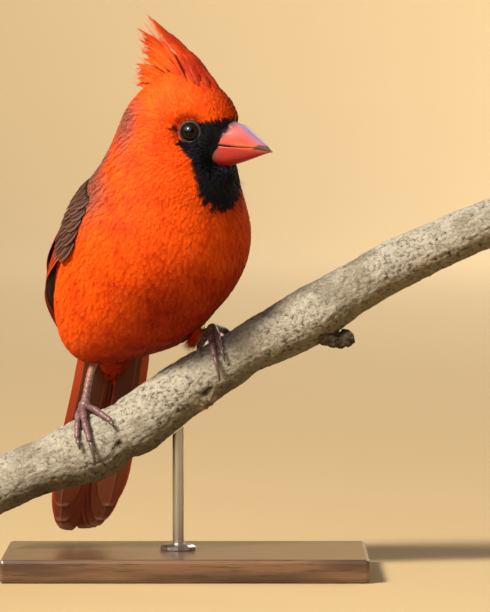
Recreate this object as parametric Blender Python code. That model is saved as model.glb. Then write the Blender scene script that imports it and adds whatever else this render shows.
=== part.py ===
"""A male northern cardinal, life size, perched on a cut length of branch on a plain display stand.

Lengths are in millimetres until a mesh is made. +Z is up, the viewer stands at -Y, and the
origin is the middle of the stand's underside.
"""

import math

import bmesh
import bpy
import numpy as np

MM = 0.001
GAP = 0.3
VANE_THICKNESS = 0.55

# Faces that meet within the first of these angles that leaves the mesh closed count as flat.
FLAT_ANGLES = (1.2, 0.9, 0.7, 0.5, 0.3, 0.1)
SHORTEST_EDGE = 0.02

BODY_CENTRE = (-14.6, 2.0, 121.5)
BODY_YAW = 25.0
BODY_PITCH = 50.0
HEAD_CENTRE = (-1.1, -23.4, 171.5)
HEAD_YAW = 66.0
HEAD_PITCH = -8.0
TAIL_ROOT = (-27.8, 31.5, 92.0)
TAIL_WAY = (-0.185, 0.225, -0.957)
SOFTNESS = 3.2

EYE_PLACE = (7.8, 8.6, -0.4)
EYE_RADIUS = 4.2
LID_RADIUS = 3.95
LID_THICKNESS = 0.75

HEAD_CUT = 17.0
NECK_CUT = 36.0

PERCH_ROUTE = [
    (-77.0, 32.6, 11.2),
    (-55.0, 41.2, 10.6),
    (-36.0, 48.5, 12.9),
    (-25.5, 54.5, 10.9),
    (-18.8, 57.8, 11.7),
    (0.8, 72.3, 10.8),
    (15.0, 81.0, 10.2),
    (25.4, 87.4, 9.8),
    (46.9, 98.8, 11.3),
    (63.0, 109.0, 10.0),
    (84.6, 121.0, 9.7),
    (106.0, 130.8, 9.3),
    (122.0, 137.0, 9.6),
]

BASE_LENGTH = 140.0
BASE_DEPTH = 96.0
BASE_HEIGHT = 9.0
ROD_X = -3.0
ROD_RADIUS = 2.2

COLOURS = {
    "plumage_red": ((0.75, 0.06, 0.01), 0.75, 0.0),
    "wing_brown": ((0.22, 0.05, 0.03), 0.7, 0.0),
    "bill_coral": ((0.72, 0.12, 0.06), 0.35, 0.0),
    "eye_dark": ((0.01, 0.008, 0.006), 0.05, 0.0),
    "leg_mauve": ((0.28, 0.16, 0.14), 0.55, 0.0),
    "claw_dark": ((0.08, 0.06, 0.05), 0.4, 0.0),
    "bark_grey": ((0.36, 0.32, 0.26), 0.9, 0.0),
    "stand_walnut": ((0.13, 0.07, 0.04), 0.45, 0.0),
    "stand_steel": ((0.45, 0.44, 0.42), 0.35, 1.0),
}


def unit(vector):
    vector = np.asarray(vector, float)
    return vector / np.linalg.norm(vector)


def turned(yaw, pitch):
    """Forward, left and up of something that faces the viewer, turned by yaw and raised by pitch."""
    yaw, pitch = math.radians(yaw), math.radians(pitch)
    heading = np.array([math.sin(yaw), -math.cos(yaw), 0.0])
    upright = np.array([0.0, 0.0, 1.0])
    forward = math.cos(pitch) * heading + math.sin(pitch) * upright
    left = np.array([math.cos(yaw), math.sin(yaw), 0.0])
    return forward, left, np.cross(forward, left)


def leaning(back, left):
    """Forward, left and up of something whose rear points along back and whose left is about left."""
    forward = -unit(back)
    left = unit(np.asarray(left) - forward * (np.asarray(left) @ forward))
    return forward, left, np.cross(forward, left)


class Frame:
    """A place on the bird and its own forward, left and up directions."""

    def __init__(self, origin, forward, left, up):
        self.origin = np.array(origin, float)
        self.axes = np.array([forward, left, up])

    def point(self, place):
        return self.origin + np.asarray(place, float) @ self.axes

    def way(self, direction):
        return np.asarray(direction, float) @ self.axes

    def local(self, points):
        return (points - self.origin) @ self.axes.T


ROOM = Frame((0.0, 0.0, 0.0), (1.0, 0.0, 0.0), (0.0, 1.0, 0.0), (0.0, 0.0, 1.0))
BODY = Frame(BODY_CENTRE, *turned(BODY_YAW, BODY_PITCH))
HEAD = Frame(HEAD_CENTRE, *turned(HEAD_YAW, HEAD_PITCH))
TAIL = Frame(TAIL_ROOT, *leaning(TAIL_WAY, BODY.axes[1]))

# Each lobe of the plumage: the frame that it belongs to, its middle and its three radii.
LOBES = [
    (BODY, (-7.0, -1.0, -2.0), (37.0, 33.5, 31.0)),
    (BODY, (14.0, 0.5, -5.0), (32.0, 34.0, 29.0)),
    (BODY, (12.0, 0.0, 5.0), (34.0, 31.0, 24.0)),
    (BODY, (-32.0, 0.0, 8.0), (17.0, 14.0, 11.0)),
    (BODY, (36.0, 0.5, 4.0), (22.0, 25.0, 23.0)),
    (HEAD, (0.0, 0.0, 0.0), (18.5, 11.6, 14.0)),
    (HEAD, (-11.0, 0.0, -6.0), (13.0, 13.0, 18.0)),
    (HEAD, (3.0, 5.0, -7.0), (10.0, 6.5, 8.0)),
    (HEAD, (3.0, -5.0, -7.0), (10.0, 6.5, 8.0)),
    (HEAD, (13.0, 0.0, -1.0), (8.5, 7.5, 8.0)),
    (HEAD, (12.0, 0.0, -15.0), (10.5, 9.0, 9.0)),
    (HEAD, (6.0, 0.0, 7.5), (13.0, 7.0, 9.5)),
    (HEAD, (-3.0, 0.0, 12.0), (11.0, 5.0, 9.5)),
    (TAIL, (-6.0, 0.0, -5.0), (22.0, 11.0, 4.5)),
]


# Where the plumage is pressed in: round each eye, over the left foot and under the belly.
HOLLOWS = [
    (HEAD, EYE_PLACE, 2.6, 6.5),
    (HEAD, np.array(EYE_PLACE) * (1.0, -1.0, 1.0), 2.6, 6.5),
    (ROOM, (7.0, 4.0, 96.0), 2.6, 11.0),
    (ROOM, (-10.0, 4.0, 80.0), 5.0, 16.0),
]


def plumage(points):
    """How far points lie outside the blended lobes; negative inside."""
    total = np.zeros(points.shape[:-1])
    for frame, middle, radii in LOBES:
        radii = np.array(radii)
        place = frame.local(points) - np.array(middle)
        near = np.linalg.norm(place / radii, axis=-1)
        steep = np.linalg.norm(place / radii**2, axis=-1)
        distance = near * (near - 1.0) / np.maximum(steep, 1e-9)
        total += np.exp(-distance / SOFTNESS)
    pressed = np.zeros(points.shape[:-1])
    for frame, place, depth, spread in HOLLOWS:
        away = frame.local(points) - np.array(place)
        pressed += depth * np.exp(-np.sum(away**2, axis=-1) / spread**2)
    return pressed - SOFTNESS * np.log(total)


def reach(starts, ways, level=0.0, far=60.0, steps=90):
    """How far each ray from inside the plumage runs before it is level outside it."""
    lengths = np.linspace(0.0, far, steps)
    along = starts[None] + lengths[:, None, None] * ways[None]
    outside = plumage(along) > level
    outside[-1] = True
    first = np.maximum(outside.argmax(axis=0), 1)
    low, high = lengths[first - 1], lengths[first]
    for _ in range(16):
        middle = (low + high) / 2
        out = plumage(starts + middle[:, None] * ways) > level
        low, high = np.where(out, low, middle), np.where(out, middle, high)
    return (low + high) / 2


def material(slot):
    made = bpy.data.materials.get(slot)
    if made is None:
        colour, roughness, metallic = COLOURS[slot]
        made = bpy.data.materials.new(slot)
        made.use_nodes = True
        shader = made.node_tree.nodes["Principled BSDF"]
        shader.inputs["Base Color"].default_value = (*colour, 1.0)
        shader.inputs["Roughness"].default_value = roughness
        shader.inputs["Metallic"].default_value = metallic
        made.diffuse_color = (*colour, 1.0)
    return made


def solid(name, points, faces, slot, smooth_angle=40.0):
    """A closed mesh object from points in millimetres, its faces pointing out."""
    mesh = bpy.data.meshes.new(name)
    mesh.from_pydata([tuple(float(c) * MM for c in p) for p in points], [], faces)
    shaped = bmesh.new()
    shaped.from_mesh(mesh)
    bmesh.ops.recalc_face_normals(shaped, faces=shaped.faces)
    if shaped.calc_volume(signed=True) < 0:
        bmesh.ops.reverse_faces(shaped, faces=shaped.faces)
    shaped.to_mesh(mesh)
    shaped.free()
    mesh.shade_smooth()
    mesh.set_sharp_from_angle(angle=math.radians(smooth_angle))
    mesh.materials.append(material(slot))
    made = bpy.data.objects.new(name, mesh)
    bpy.context.scene.collection.objects.link(made)
    return made


def ringed(rings, start=None, end=None):
    """Points and faces of a tube of rings, each end closed by a pole or, with none, by one face."""
    rings = [np.asarray(ring, float) for ring in rings]
    around = len(rings[0])
    points = [p for ring in rings for p in ring]
    faces = []
    for i in range(len(rings) - 1):
        for j in range(around):
            k = (j + 1) % around
            a, b = i * around + j, i * around + k
            c, d = a + around, b + around
            faces += [(a, b, d), (a, d, c)]
    last = (len(rings) - 1) * around
    if start is None:
        faces.append(tuple(reversed(range(around))))
    else:
        points.append(start)
        faces += [(len(points) - 1, (j + 1) % around, j) for j in range(around)]
    if end is None:
        faces.append(tuple(range(last, last + around)))
    else:
        points.append(end)
        faces += [(len(points) - 1, last + j, last + (j + 1) % around) for j in range(around)]
    return points, faces


def joined(name, pieces, slot):
    """One closed body from overlapping closed pieces, which are removed."""
    first, rest = pieces[0], pieces[1:]
    if rest:
        group = bpy.data.collections.new(name + "_pieces")
        bpy.context.scene.collection.children.link(group)
        for piece in rest:
            bpy.context.scene.collection.objects.unlink(piece)
            group.objects.link(piece)
        union = first.modifiers.new("Join", "BOOLEAN")
        union.operation = "UNION"
        union.operand_type = "COLLECTION"
        union.collection = group
        union.solver = "MANIFOLD"
        settle(first)
        for piece in list(group.objects):
            bpy.data.objects.remove(piece)
        bpy.data.collections.remove(group)
        flatten(first)
    first.name = name
    first.data.name = name
    first.data.materials.clear()
    first.data.materials.append(material(slot))
    return first


def settle(obj):
    """Applies an object's modifiers, so that its mesh is what they gave."""
    bpy.context.view_layer.update()
    graph = bpy.context.evaluated_depsgraph_get()
    mesh = bpy.data.meshes.new_from_object(obj.evaluated_get(graph))
    obj.modifiers.clear()
    obj.data = mesh


def carve(obj, cutters):
    """Cuts closed meshes out of an object and keeps its largest closed surface."""
    for cutter in cutters:
        cut = obj.modifiers.new("Cut", "BOOLEAN")
        cut.operation = "DIFFERENCE"
        cut.object = cutter
        cut.solver = "MANIFOLD"
        settle(obj)
    keep_largest(obj)
    flatten(obj)
    obj.data.shade_smooth()
    obj.data.set_sharp_from_angle(angle=math.radians(40))
    return obj


def flatten(obj):
    """Takes out the points that a Boolean left in flat areas, as far as the mesh stays closed."""
    for angle in FLAT_ANGLES:
        shaped = bmesh.new()
        shaped.from_mesh(obj.data)
        bmesh.ops.dissolve_limit(
            shaped, angle_limit=math.radians(angle), verts=shaped.verts, edges=shaped.edges
        )
        bmesh.ops.dissolve_degenerate(shaped, dist=SHORTEST_EDGE * MM, edges=shaped.edges)
        bmesh.ops.triangulate(shaped, faces=shaped.faces)
        closed = all(len(edge.link_faces) == 2 for edge in shaped.edges)
        if closed:
            shaped.to_mesh(obj.data)
        shaped.free()
        if closed:
            return


def keep_largest(obj):
    """Leaves only the closed surface with the largest area."""
    shaped = bmesh.new()
    shaped.from_mesh(obj.data)
    bmesh.ops.triangulate(shaped, faces=shaped.faces)
    unseen = set(shaped.faces)
    shells = []
    while unseen:
        stack = [unseen.pop()]
        shell = list(stack)
        while stack:
            for edge in stack.pop().edges:
                for face in edge.link_faces:
                    if face in unseen:
                        unseen.discard(face)
                        stack.append(face)
                        shell.append(face)
        shells.append(shell)
    shells.sort(key=lambda shell: sum(face.calc_area() for face in shell))
    dropped = [face for shell in shells[:-1] for face in shell]
    bmesh.ops.delete(shaped, geom=dropped, context="FACES")
    bmesh.ops.delete(shaped, geom=[v for v in shaped.verts if not v.link_faces], context="VERTS")
    shaped.to_mesh(obj.data)
    shaped.free()


# The neck runs from the middle of the body to the middle of the head.
NECK_WAY = unit(HEAD.origin - BODY.origin)
RUMP = BODY.point((-34.0, 0.0, 3.0))


def neck_point(below):
    return HEAD.origin - NECK_WAY * below


def spine(share):
    """A point of the torso's middle line, which ends square to the neck's cut."""
    end = neck_point(NECK_CUT + GAP)
    return (1 - share) ** 2 * RUMP + 2 * share * (1 - share) * neck_point(58.0) + share**2 * end


def torso_stations(rings=15):
    """Middle, direction and lean of each ring of the torso, from the rump to the neck."""
    shares = np.linspace(0.0, 1.0, rings)
    centres = [spine(s) for s in shares]
    tangents = [unit(spine(s + 0.01) - spine(s - 0.01)) for s in shares[:-1]] + [NECK_WAY]
    made = [(centres[0], tangents[0], math.radians(t)) for t in (-72.0, -52.0, -34.0, -16.0)]
    return made + [(c, t, 0.0) for c, t in zip(centres, tangents)]


def straight_stations(first, last, rings):
    return [(neck_point(below), NECK_WAY, 0.0) for below in np.linspace(first, last, rings)]


def head_stations():
    """From the neck's cut straight up to the middle of the head, then leaning in to its top."""
    made = straight_stations(HEAD_CUT, 0.0, 9)
    return made + [(HEAD.origin, NECK_WAY, math.radians(t)) for t in (13, 25, 37, 48, 58, 68, 78)]


def pole(station, sign, level):
    """Where the plumage ends beyond its first or last ring."""
    centre, tangent, _ = station
    way = sign * tangent
    return centre + way * reach(centre[None], way[None], level)[0]


def skin(name, stations, level, start=False, end=False, around=26):
    """A closed skin through rings read from the plumage; an end is flat unless it has a pole."""
    angles = np.linspace(0.0, 2 * math.pi, around, endpoint=False)
    rings = []
    for centre, tangent, lean in stations:
        side = unit(BODY.axes[1] - tangent * (BODY.axes[1] @ tangent))
        over = np.cross(tangent, side)
        radial = np.cos(angles)[:, None] * over + np.sin(angles)[:, None] * side
        ways = math.cos(lean) * radial + math.sin(lean) * tangent
        starts = np.repeat(centre[None], around, axis=0)
        rings.append(starts + reach(starts, ways, level)[:, None] * ways)
    first = pole(stations[0], -1.0, level) if start else None
    last = pole(stations[-1], 1.0, level) if end else None
    points, faces = ringed(rings, first, last)
    return solid(name, points, faces, "plumage_red")


def sphere(name, centre, radius, slot, rings=7, around=14, axis=(0.0, 0.0, 1.0)):
    axis = unit(axis)
    side = unit(np.cross(axis, (0.3, 0.9, 0.2)))
    over = np.cross(axis, side)
    angles = np.linspace(0.0, 2 * math.pi, around, endpoint=False)
    circle = np.cos(angles)[:, None] * side + np.sin(angles)[:, None] * over
    centre = np.asarray(centre, float)
    made = [
        centre + radius * (math.cos(t) * circle + math.sin(t) * axis)
        for t in np.linspace(-1.0, 1.0, rings + 2)[1:-1] * math.pi / 2
    ]
    points, faces = ringed(made, centre - radius * axis, centre + radius * axis)
    return solid(name, points, faces, slot)


def tube(name, path, radii, slot, around=8, flat=1.0, up=(0.0, 0.0, 1.0)):
    """A round bar along a path, each end closed by a small dome; flat squeezes it along up."""
    path = [np.asarray(p, float) for p in path]
    angles = np.linspace(0.0, 2 * math.pi, around, endpoint=False)
    rings = []
    for i, (place, radius) in enumerate(zip(path, radii)):
        tangent = unit(path[min(i + 1, len(path) - 1)] - path[max(i - 1, 0)])
        side = unit(np.cross(up, tangent))
        over = np.cross(tangent, side)
        ring = np.cos(angles)[:, None] * side + flat * np.sin(angles)[:, None] * over
        rings.append(place + radius * ring)
    start = path[0] - unit(path[1] - path[0]) * radii[0] * 0.5
    end = path[-1] + unit(path[-1] - path[-2]) * radii[-1] * 0.5
    points, faces = ringed(rings, start, end)
    return solid(name, points, faces, slot)


def eye_axis(side):
    return HEAD.way(unit((0.22, side, 0.06)))


def eye_centre(side):
    f, l, u = EYE_PLACE
    return HEAD.point((f, side * l, u))


def eyelid(side, around=16, section=5):
    """The bare ring of skin round the eye."""
    axis = eye_axis(side)
    across = unit(np.cross(axis, HEAD.axes[2]))
    over = np.cross(axis, across)
    middle = eye_centre(side) + axis * 2.2
    points, faces = [], []
    for i in range(around):
        a = 2 * math.pi * i / around
        out = math.cos(a) * across + math.sin(a) * over
        for j in range(section):
            b = 2 * math.pi * j / section
            radius = LID_RADIUS + LID_THICKNESS * math.cos(b)
            points.append(middle + out * radius + axis * LID_THICKNESS * math.sin(b))
    for i in range(around):
        for j in range(section):
            a, b = i * section + j, i * section + (j + 1) % section
            c, d = (a + section) % len(points), ((i + 1) % around) * section + (j + 1) % section
            faces.append((a, b, d, c))
    return solid("lid", points, faces, "plumage_red")


# Profiles of the bill on its midline, as forward and up places in the head's frame.
CULMEN = [(12.0, 8.6), (21.1, 5.7), (26.2, 4.6), (30.1, 2.3), (33.9, -0.1), (36.3, -1.7), (38.3, -3.7)]
MOUTH_LINE = [(12.0, -3.7), (19.6, -3.7), (26.0, -3.3), (32.0, -2.9), (38.3, -3.6)]
GONYS = [(12.0, -13.0), (18.4, -12.2), (24.7, -10.0), (29.7, -7.7), (34.6, -5.2), (37.3, -4.0)]
BILL_BACK = 12.5
BILL_HALF_WIDTH = [(12.0, 7.6), (19.0, 7.0), (25.0, 5.6), (31.0, 3.4), (36.0, 1.3), (38.3, 0.35)]


def profile(outline, forward):
    places, values = zip(*outline)
    return float(np.interp(forward, places, values))


def bill_rings(halves, grow, stations=9, around=14):
    """Sections of the bill from inside the face to its tip."""
    rings = []
    for forward in np.linspace(BILL_BACK, 37.6, stations):
        mouth = profile(MOUTH_LINE, forward)
        ridge, keel = profile(CULMEN, forward) + grow, profile(GONYS, forward) - grow
        width = profile(BILL_HALF_WIDTH, forward) + grow
        if halves == "upper":
            keel = mouth + GAP / 2
            ridge = max(ridge, keel + 0.3)
        if halves == "lower":
            ridge = mouth - GAP / 2
            keel = min(keel, ridge - 0.3)
            width *= 0.94
        ring = []
        for k in range(around):
            a = 2 * math.pi * (k + 0.5) / around
            across, rise = math.cos(a), math.sin(a)
            if (rise < 0.0 and halves == "upper") or (rise > 0.0 and halves == "lower"):
                rise = 0.0
            flat = {"upper": keel, "lower": ridge}.get(halves, mouth)
            span = ridge - flat if rise > 0 else flat - keel
            lift = math.copysign(abs(rise) ** 0.85, rise) * span
            aside = math.copysign(abs(across) ** 0.9, across) * width
            ring.append(HEAD.point((forward, aside, flat + lift)))
        rings.append(ring)
    return rings


def bill(name, halves, grow=0.0):
    tip = {"upper": (38.3, -3.65), "lower": (37.9, -4.1), "both": (38.6, -3.8)}[halves]
    points, faces = ringed(bill_rings(halves, grow), None, HEAD.point((tip[0] + grow, 0.0, tip[1])))
    return solid(name, points, faces, "bill_coral")


def vane(path, widths, normals, slot, shaft=0.0, thickness=VANE_THICKNESS):
    """A feather's vane, with a raised shaft if one is asked for; both faces are split alike."""
    path = [np.asarray(p, float) for p in path]
    points, faces = [], []
    for i, (place, width, normal) in enumerate(zip(path, widths, normals)):
        tangent = unit(path[min(i + 1, len(path) - 1)] - path[max(i - 1, 0)])
        normal = unit(normal - tangent * (np.asarray(normal) @ tangent))
        side = np.cross(tangent, normal)
        half = normal * thickness / 2
        ring = [place + side * width - half, place + side * width + half]
        if shaft:
            ring.append(place + half + normal * shaft * (1.0 - 0.7 * i / len(path)))
        ring += [place - side * width + half, place - side * width - half]
        if shaft:
            ring.append(place - half)
        points += ring
    count = 6 if shaft else 4
    # Each face pair of the blade, over and under, is cut along the same diagonal.
    turned_back = (1, 4) if shaft else (1,)
    for i in range(len(path) - 1):
        for j in range(count):
            a, b = i * count + j, i * count + (j + 1) % count
            c, d = a + count, b + count
            if j in turned_back:
                faces += [(a, b, c), (b, d, c)]
            else:
                faces += [(a, b, d), (a, d, c)]
    last = len(points) - count
    faces += [tuple(range(count))[::-1], tuple(range(last, last + count))]
    return solid("vane", points, faces, slot)


def blade(share, pointed=0.55):
    """How wide a feather is at a share of its length, as part of its full width."""
    root = 0.45 + 0.55 * min(share / 0.35, 1.0)
    tip = 1.0 if share < pointed else math.sqrt(max(1.0 - ((share - pointed) / (1.02 - pointed)) ** 2, 0.0))
    return root * max(tip, 0.12)


def bezier(start, middle, end, share):
    return (1 - share) ** 2 * start + 2 * share * (1 - share) * middle + share**2 * end


def catmull(points, count):
    """A smooth line through points, read at evenly spaced shares of it."""
    points = np.asarray(points, float)
    ends = np.vstack([2 * points[0] - points[1], points, 2 * points[-1] - points[-2]])
    made = []
    for s in np.linspace(0.0, len(points) - 1, count):
        i = min(int(s), len(points) - 2)
        t = s - i
        p0, p1, p2, p3 = ends[i : i + 4]
        made.append(
            0.5
            * (
                2 * p1
                + (p2 - p0) * t
                + (2 * p0 - 5 * p1 + 4 * p2 - p3) * t * t
                + (3 * p1 - p0 - 3 * p2 + p3) * t**3
            )
        )
    return np.array(made)


def perch_line(x):
    """Middle, along, top and radius of the perch at a distance across the scene."""
    route = catmull(PERCH_ROUTE, 121)
    z, radius = np.interp(x, route[:, 0], route[:, 1]), np.interp(x, route[:, 0], route[:, 2])
    rise = (np.interp(x + 2, route[:, 0], route[:, 1]) - np.interp(x - 2, route[:, 0], route[:, 1])) / 4
    along = unit((1.0, 0.0, rise))
    return np.array([x, 0.0, z]), along, np.array([-along[2], 0.0, along[0]]), float(radius)


def on_perch(x, angle, height):
    """A point height off the bark; angle 0 faces the viewer and 90 is the top."""
    middle, _, top, radius = perch_line(x)
    a = math.radians(angle)
    return middle + (radius + height) * (math.cos(a) * np.array([0.0, -1.0, 0.0]) + math.sin(a) * top)


def wing_radius(along, angle, side, level=0.0):
    """How far the folded wing's bed lies from the body's axis."""
    a = math.radians(angle)
    start = BODY.point((along, 0.0, 0.0))
    way = BODY.way((0.0, side * math.sin(a), math.cos(a)))
    bed = float(reach(start[None], way[None], level)[0]) if along > -44.0 else 0.0
    share = min(max((along + 4.0) / 66.5, -0.99), 0.99)
    wide, deep = 33.0, 29.0
    guide = math.sqrt(1.0 - share**2) / math.hypot(math.sin(a) / wide, math.cos(a) / deep)
    return max(bed, guide if along < 0 else 0.0)


def on_wing(along, angle, height, side):
    """A point on the folded wing; angle runs from the back's middle line down the flank."""
    a = math.radians(angle)
    radius = wing_radius(along, angle, side) + height
    return BODY.point((along, side * radius * math.sin(a), radius * math.cos(a)))


# The folded wing's bed: distance along the body, upper edge and lower edge round it.
WING_BED = [
    (25.0, 68.0, 82.0),
    (20.0, 46.0, 89.0),
    (10.0, 24.0, 95.0),
    (-2.0, 13.0, 97.0),
    (-14.0, 9.0, 93.0),
    (-26.0, 8.0, 83.0),
    (-38.0, 9.0, 66.0),
    (-48.0, 12.0, 48.0),
    (-55.0, 17.0, 36.0),
]


def wing_bed(side, low, high, edge=0.4, count=7):
    """The folded wing as one smooth plate over the body, thinner at its upper and lower edges."""
    rings = []
    for along, upper, lower in WING_BED:
        angles = np.linspace(upper, lower, count)
        rise = 1.0 - np.linspace(-1.0, 1.0, count) ** 4
        outer = [on_wing(along, a, edge + (high - edge) * r, side) for a, r in zip(angles, rise)]
        inner = [on_wing(along, a, low, side) for a in angles[::-1]]
        rings.append(outer + inner)
    points, faces = ringed(rings)
    return solid("bed", points, faces, "wing_brown")


def wing_feather(side, root, tip, heights, half_width, stations=5, tilt=9.0, bow=0.0):
    """A vane on the folded wing, from root to tip, each a distance along the body and an angle."""
    path, widths, normals = [], [], []
    for share in np.linspace(0.0, 1.0, stations):
        along = root[0] + (tip[0] - root[0]) * share
        angle = root[1] + (tip[1] - root[1]) * share + bow * math.sin(math.pi * share)
        height = heights[0] + (heights[1] - heights[0]) * share
        path.append(on_wing(along, angle, height, side))
        # The lower edge lies a little proud, over the next feather down.
        turn = math.radians(angle - tilt)
        normals.append(BODY.way((0.12, side * math.sin(turn), math.cos(turn))))
        widths.append(half_width * blade(share))
    return vane(path, widths, normals, "wing_brown")


def covert_row(side, count, angles, roots, tips, heights, half_width):
    """A row of like feathers, side by side down the wing."""
    made = []
    for i in range(count):
        share = i / (count - 1)
        angle = angles[0] + (angles[1] - angles[0]) * share
        root = roots[0] + (roots[1] - roots[0]) * share
        tip = tips[0] + (tips[1] - tips[0]) * share + 0.7 * math.sin(5.0 * i)
        made.append(wing_feather(side, (root, angle + 3.0), (tip, angle - 3.0), heights, half_width, 4, 15.0))
    return made


# Where the tip of each primary lies, from the outermost inwards: distance along the body and angle.
PRIMARY_TIPS = [(-54.0, 33.0), (-60.0, 29.0), (-63.0, 25.0), (-59.0, 21.0), (-52.0, 17.5)]


def make_wing(side_name, side):
    """The folded wing: a thin bed, and on it primaries, secondaries, tertials and rows of coverts."""
    pieces = [wing_bed(side, -1.5, 0.85)]
    for i, tip in enumerate(PRIMARY_TIPS):
        root = (-5.0 - 1.5 * i, 87.0 - 7.0 * i)
        pieces.append(wing_feather(side, root, tip, (0.6, 0.9 + 0.3 * i), 3.5, 5, 22.0, 7.0))
    for i in range(5):
        root = (-5.0 - 0.6 * i, 62.0 - 8.0 * i)
        tip = (-40.0 - 1.6 * i, 42.0 - 6.2 * i)
        pieces.append(wing_feather(side, root, tip, (0.8, 1.9 + 0.25 * i), 4.2, 4, 21.0, 4.0))
    for i in range(3):
        root = (-2.0, 29.0 - 6.5 * i)
        tip = (-32.0 + 6.0 * i, 23.0 - 4.4 * i)
        pieces.append(wing_feather(side, root, tip, (1.1, 2.9 + 0.4 * i), 4.5, 4, 20.0, 2.0))
    pieces += covert_row(side, 6, (91.0, 34.0), (1.0, 3.0), (-12.0, -9.0), (0.4, 2.3), 4.8)
    pieces += covert_row(side, 5, (88.0, 35.0), (12.0, 12.0), (0.0, 1.0), (0.4, 2.2), 5.2)
    pieces += covert_row(side, 3, (82.0, 46.0), (21.0, 19.0), (10.0, 9.0), (0.4, 2.2), 6.0)
    pieces += covert_row(side, 2, (79.0, 62.0), (26.0, 25.0), (17.0, 16.0), (0.3, 1.8), 5.2)
    pieces += covert_row(side, 3, (30.0, 13.0), (5.0, -5.0), (-8.0, -19.0), (0.6, 3.0), 4.8)
    pieces += covert_row(side, 2, (32.0, 20.0), (14.0, 8.0), (3.0, -3.0), (0.5, 2.8), 4.8)
    return joined(f"wing_{side_name}", pieces, "wing_brown")


# The tail's feathers lie in two stacks; a feather's number counts outwards from the middle pair.
RECTRIX_LENGTH = 83.5
RECTRIX_HALF_WIDTH = 6.9
RECTRIX_SHORTER = (0.0, 0.5, 1.2, 2.4, 5.0, 11.5)
# The block that holds their roots: place forward, half width and half depth of each section.
TAIL_BLOCK = [(15.0, 5.0, 2.4), (6.0, 8.5, 3.4), (-4.0, 10.5, 3.2), (-13.0, 11.0, 2.4), (-22.0, 9.0, 1.2)]


def rectrix(side, number):
    """One long tail feather of the stack on a side."""
    length = RECTRIX_LENGTH - RECTRIX_SHORTER[number] - (0.8 if side > 0 else 0.0)
    # One stack lies a little lower than the other, so that their inner edges cross clear.
    depth = 0.9 - 0.9 * number - (0.0 if side > 0 else 0.45)
    path, widths = [], []
    for share in np.linspace(0.0, 1.0, 6):
        across = side * (2.2 + 1.2 * number + (1.0 + 0.16 * number) * share)
        rise = depth * (0.55 + 0.45 * min(3 * share, 1.0)) + 1.8 * share**2
        path.append(TAIL.point((4.0 - (length + 4.0) * share, across, rise)))
        widths.append(RECTRIX_HALF_WIDTH * min(0.8 + share, 1.0) * blade(0.35 + 0.65 * share, 0.85))
    normals = [TAIL.way((0.0, side * 0.035, -1.0))] * len(path)
    return vane(path, widths, normals, "wing_brown", shaft=0.22)


def tail_covert(across, length, height):
    """A short feather over the roots of the long ones."""
    shares = np.linspace(0.0, 1.0, 4)
    path = [TAIL.point((8.0 - length * s, across, height + 0.9 * s)) for s in shares]
    widths = [4.6 * blade(s) for s in shares]
    return vane(path, widths, [TAIL.axes[2]] * len(path), "wing_brown")


def make_tail():
    angles = np.linspace(0.0, 2 * math.pi, 12, endpoint=False)
    rings = [
        [TAIL.point((along, half * math.cos(a), deep * math.sin(a) - 1.6)) for a in angles]
        for along, half, deep in TAIL_BLOCK
    ]
    points, faces = ringed(rings)
    pieces = [solid("root", points, faces, "wing_brown")]
    for side in (1.0, -1.0):
        pieces += [rectrix(side, number) for number in range(len(RECTRIX_SHORTER))]
    for i, across in enumerate((-6.0, 6.0, -2.6, 2.6)):
        pieces.append(tail_covert(across, 36.0 if i > 1 else 32.0, 2.0 + 0.35 * i))
    return joined("tail", pieces, "wing_brown")


# Crest feathers on the head's midline: where each one is rooted, as a place forward on the crown,
# where its tip stands, forward and up, and half its width.
CREST = [
    (17.0, (6.5, 22.6), 3.4),
    (13.5, (-0.5, 29.4), 3.8),
    (10.0, (-8.5, 34.6), 4.0),
    (6.0, (-20.2, 40.3), 4.0),
    (1.5, (-23.6, 34.2), 4.0),
    (-3.0, (-21.2, 27.4), 4.0),
    (-7.0, (-22.6, 20.4), 4.2),
    (-11.0, (-21.4, 14.6), 4.2),
]


def crown(forward, across):
    """The highest point of the plumage at a place on the head."""
    start = HEAD.point((forward, across, 0.0))
    return start + HEAD.axes[2] * reach(start[None], HEAD.axes[2][None])[0]


def crest_feathers():
    """Feathers that stand up from the crown and lean back, in three files."""
    made = []
    for column in (0.0, 1.0, -1.0):
        for i, (forward, tip, half_width) in enumerate(CREST):
            if column and i in (0, 2, 4, 7):
                continue
            start = crown(forward - 2.0 * abs(column), 4.4 * column) - HEAD.axes[2] * 2.6
            end = HEAD.point((tip[0], 1.4 * column, tip[1]))
            shorten = abs(column) * (0.12 + 0.05 * math.sin(3.0 * i + column))
            end = end + (start - end) * shorten
            lean = HEAD.way(unit((0.62, 0.9 * column, 0.78)))
            middle = (start + end) / 2 + lean * 0.1 * np.linalg.norm(end - start)
            shares = np.linspace(0.0, 1.0, 4)
            path = [bezier(start, middle, end, s) for s in shares]
            face = HEAD.way(unit((0.6, 1.3 * column, 0.6)))
            widths = [half_width * w for w in (0.75, 1.0, 0.72, 0.1)]
            made.append(vane(path, widths, [face] * 4, "plumage_red", thickness=0.8))
    return made


def make_perch(around=15, stations=28):
    xs = np.linspace(PERCH_ROUTE[0][0], PERCH_ROUTE[-1][0], stations)
    rings = [[on_perch(x, 360.0 * k / around, 0.0) for k in range(around)] for x in xs]
    points, faces = ringed(rings)
    perch = solid("perch_branch", points, faces, "bark_grey")
    root = on_perch(47.5, -62.0, -4.0)
    stub = [root, root + (5.0, 0.5, -3.0), root + (9.5, 1.0, -3.4), root + (13.0, 1.5, -1.8)]
    twig = tube("twig", stub, [4.4, 3.4, 2.9, 3.1], "bark_grey", around=9)
    scar = sphere("scar", on_perch(3.4, -50.0, -1.6), 3.4, "bark_grey", rings=6, around=10)
    return joined("perch_branch", [perch, twig, scar], "bark_grey")


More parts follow.
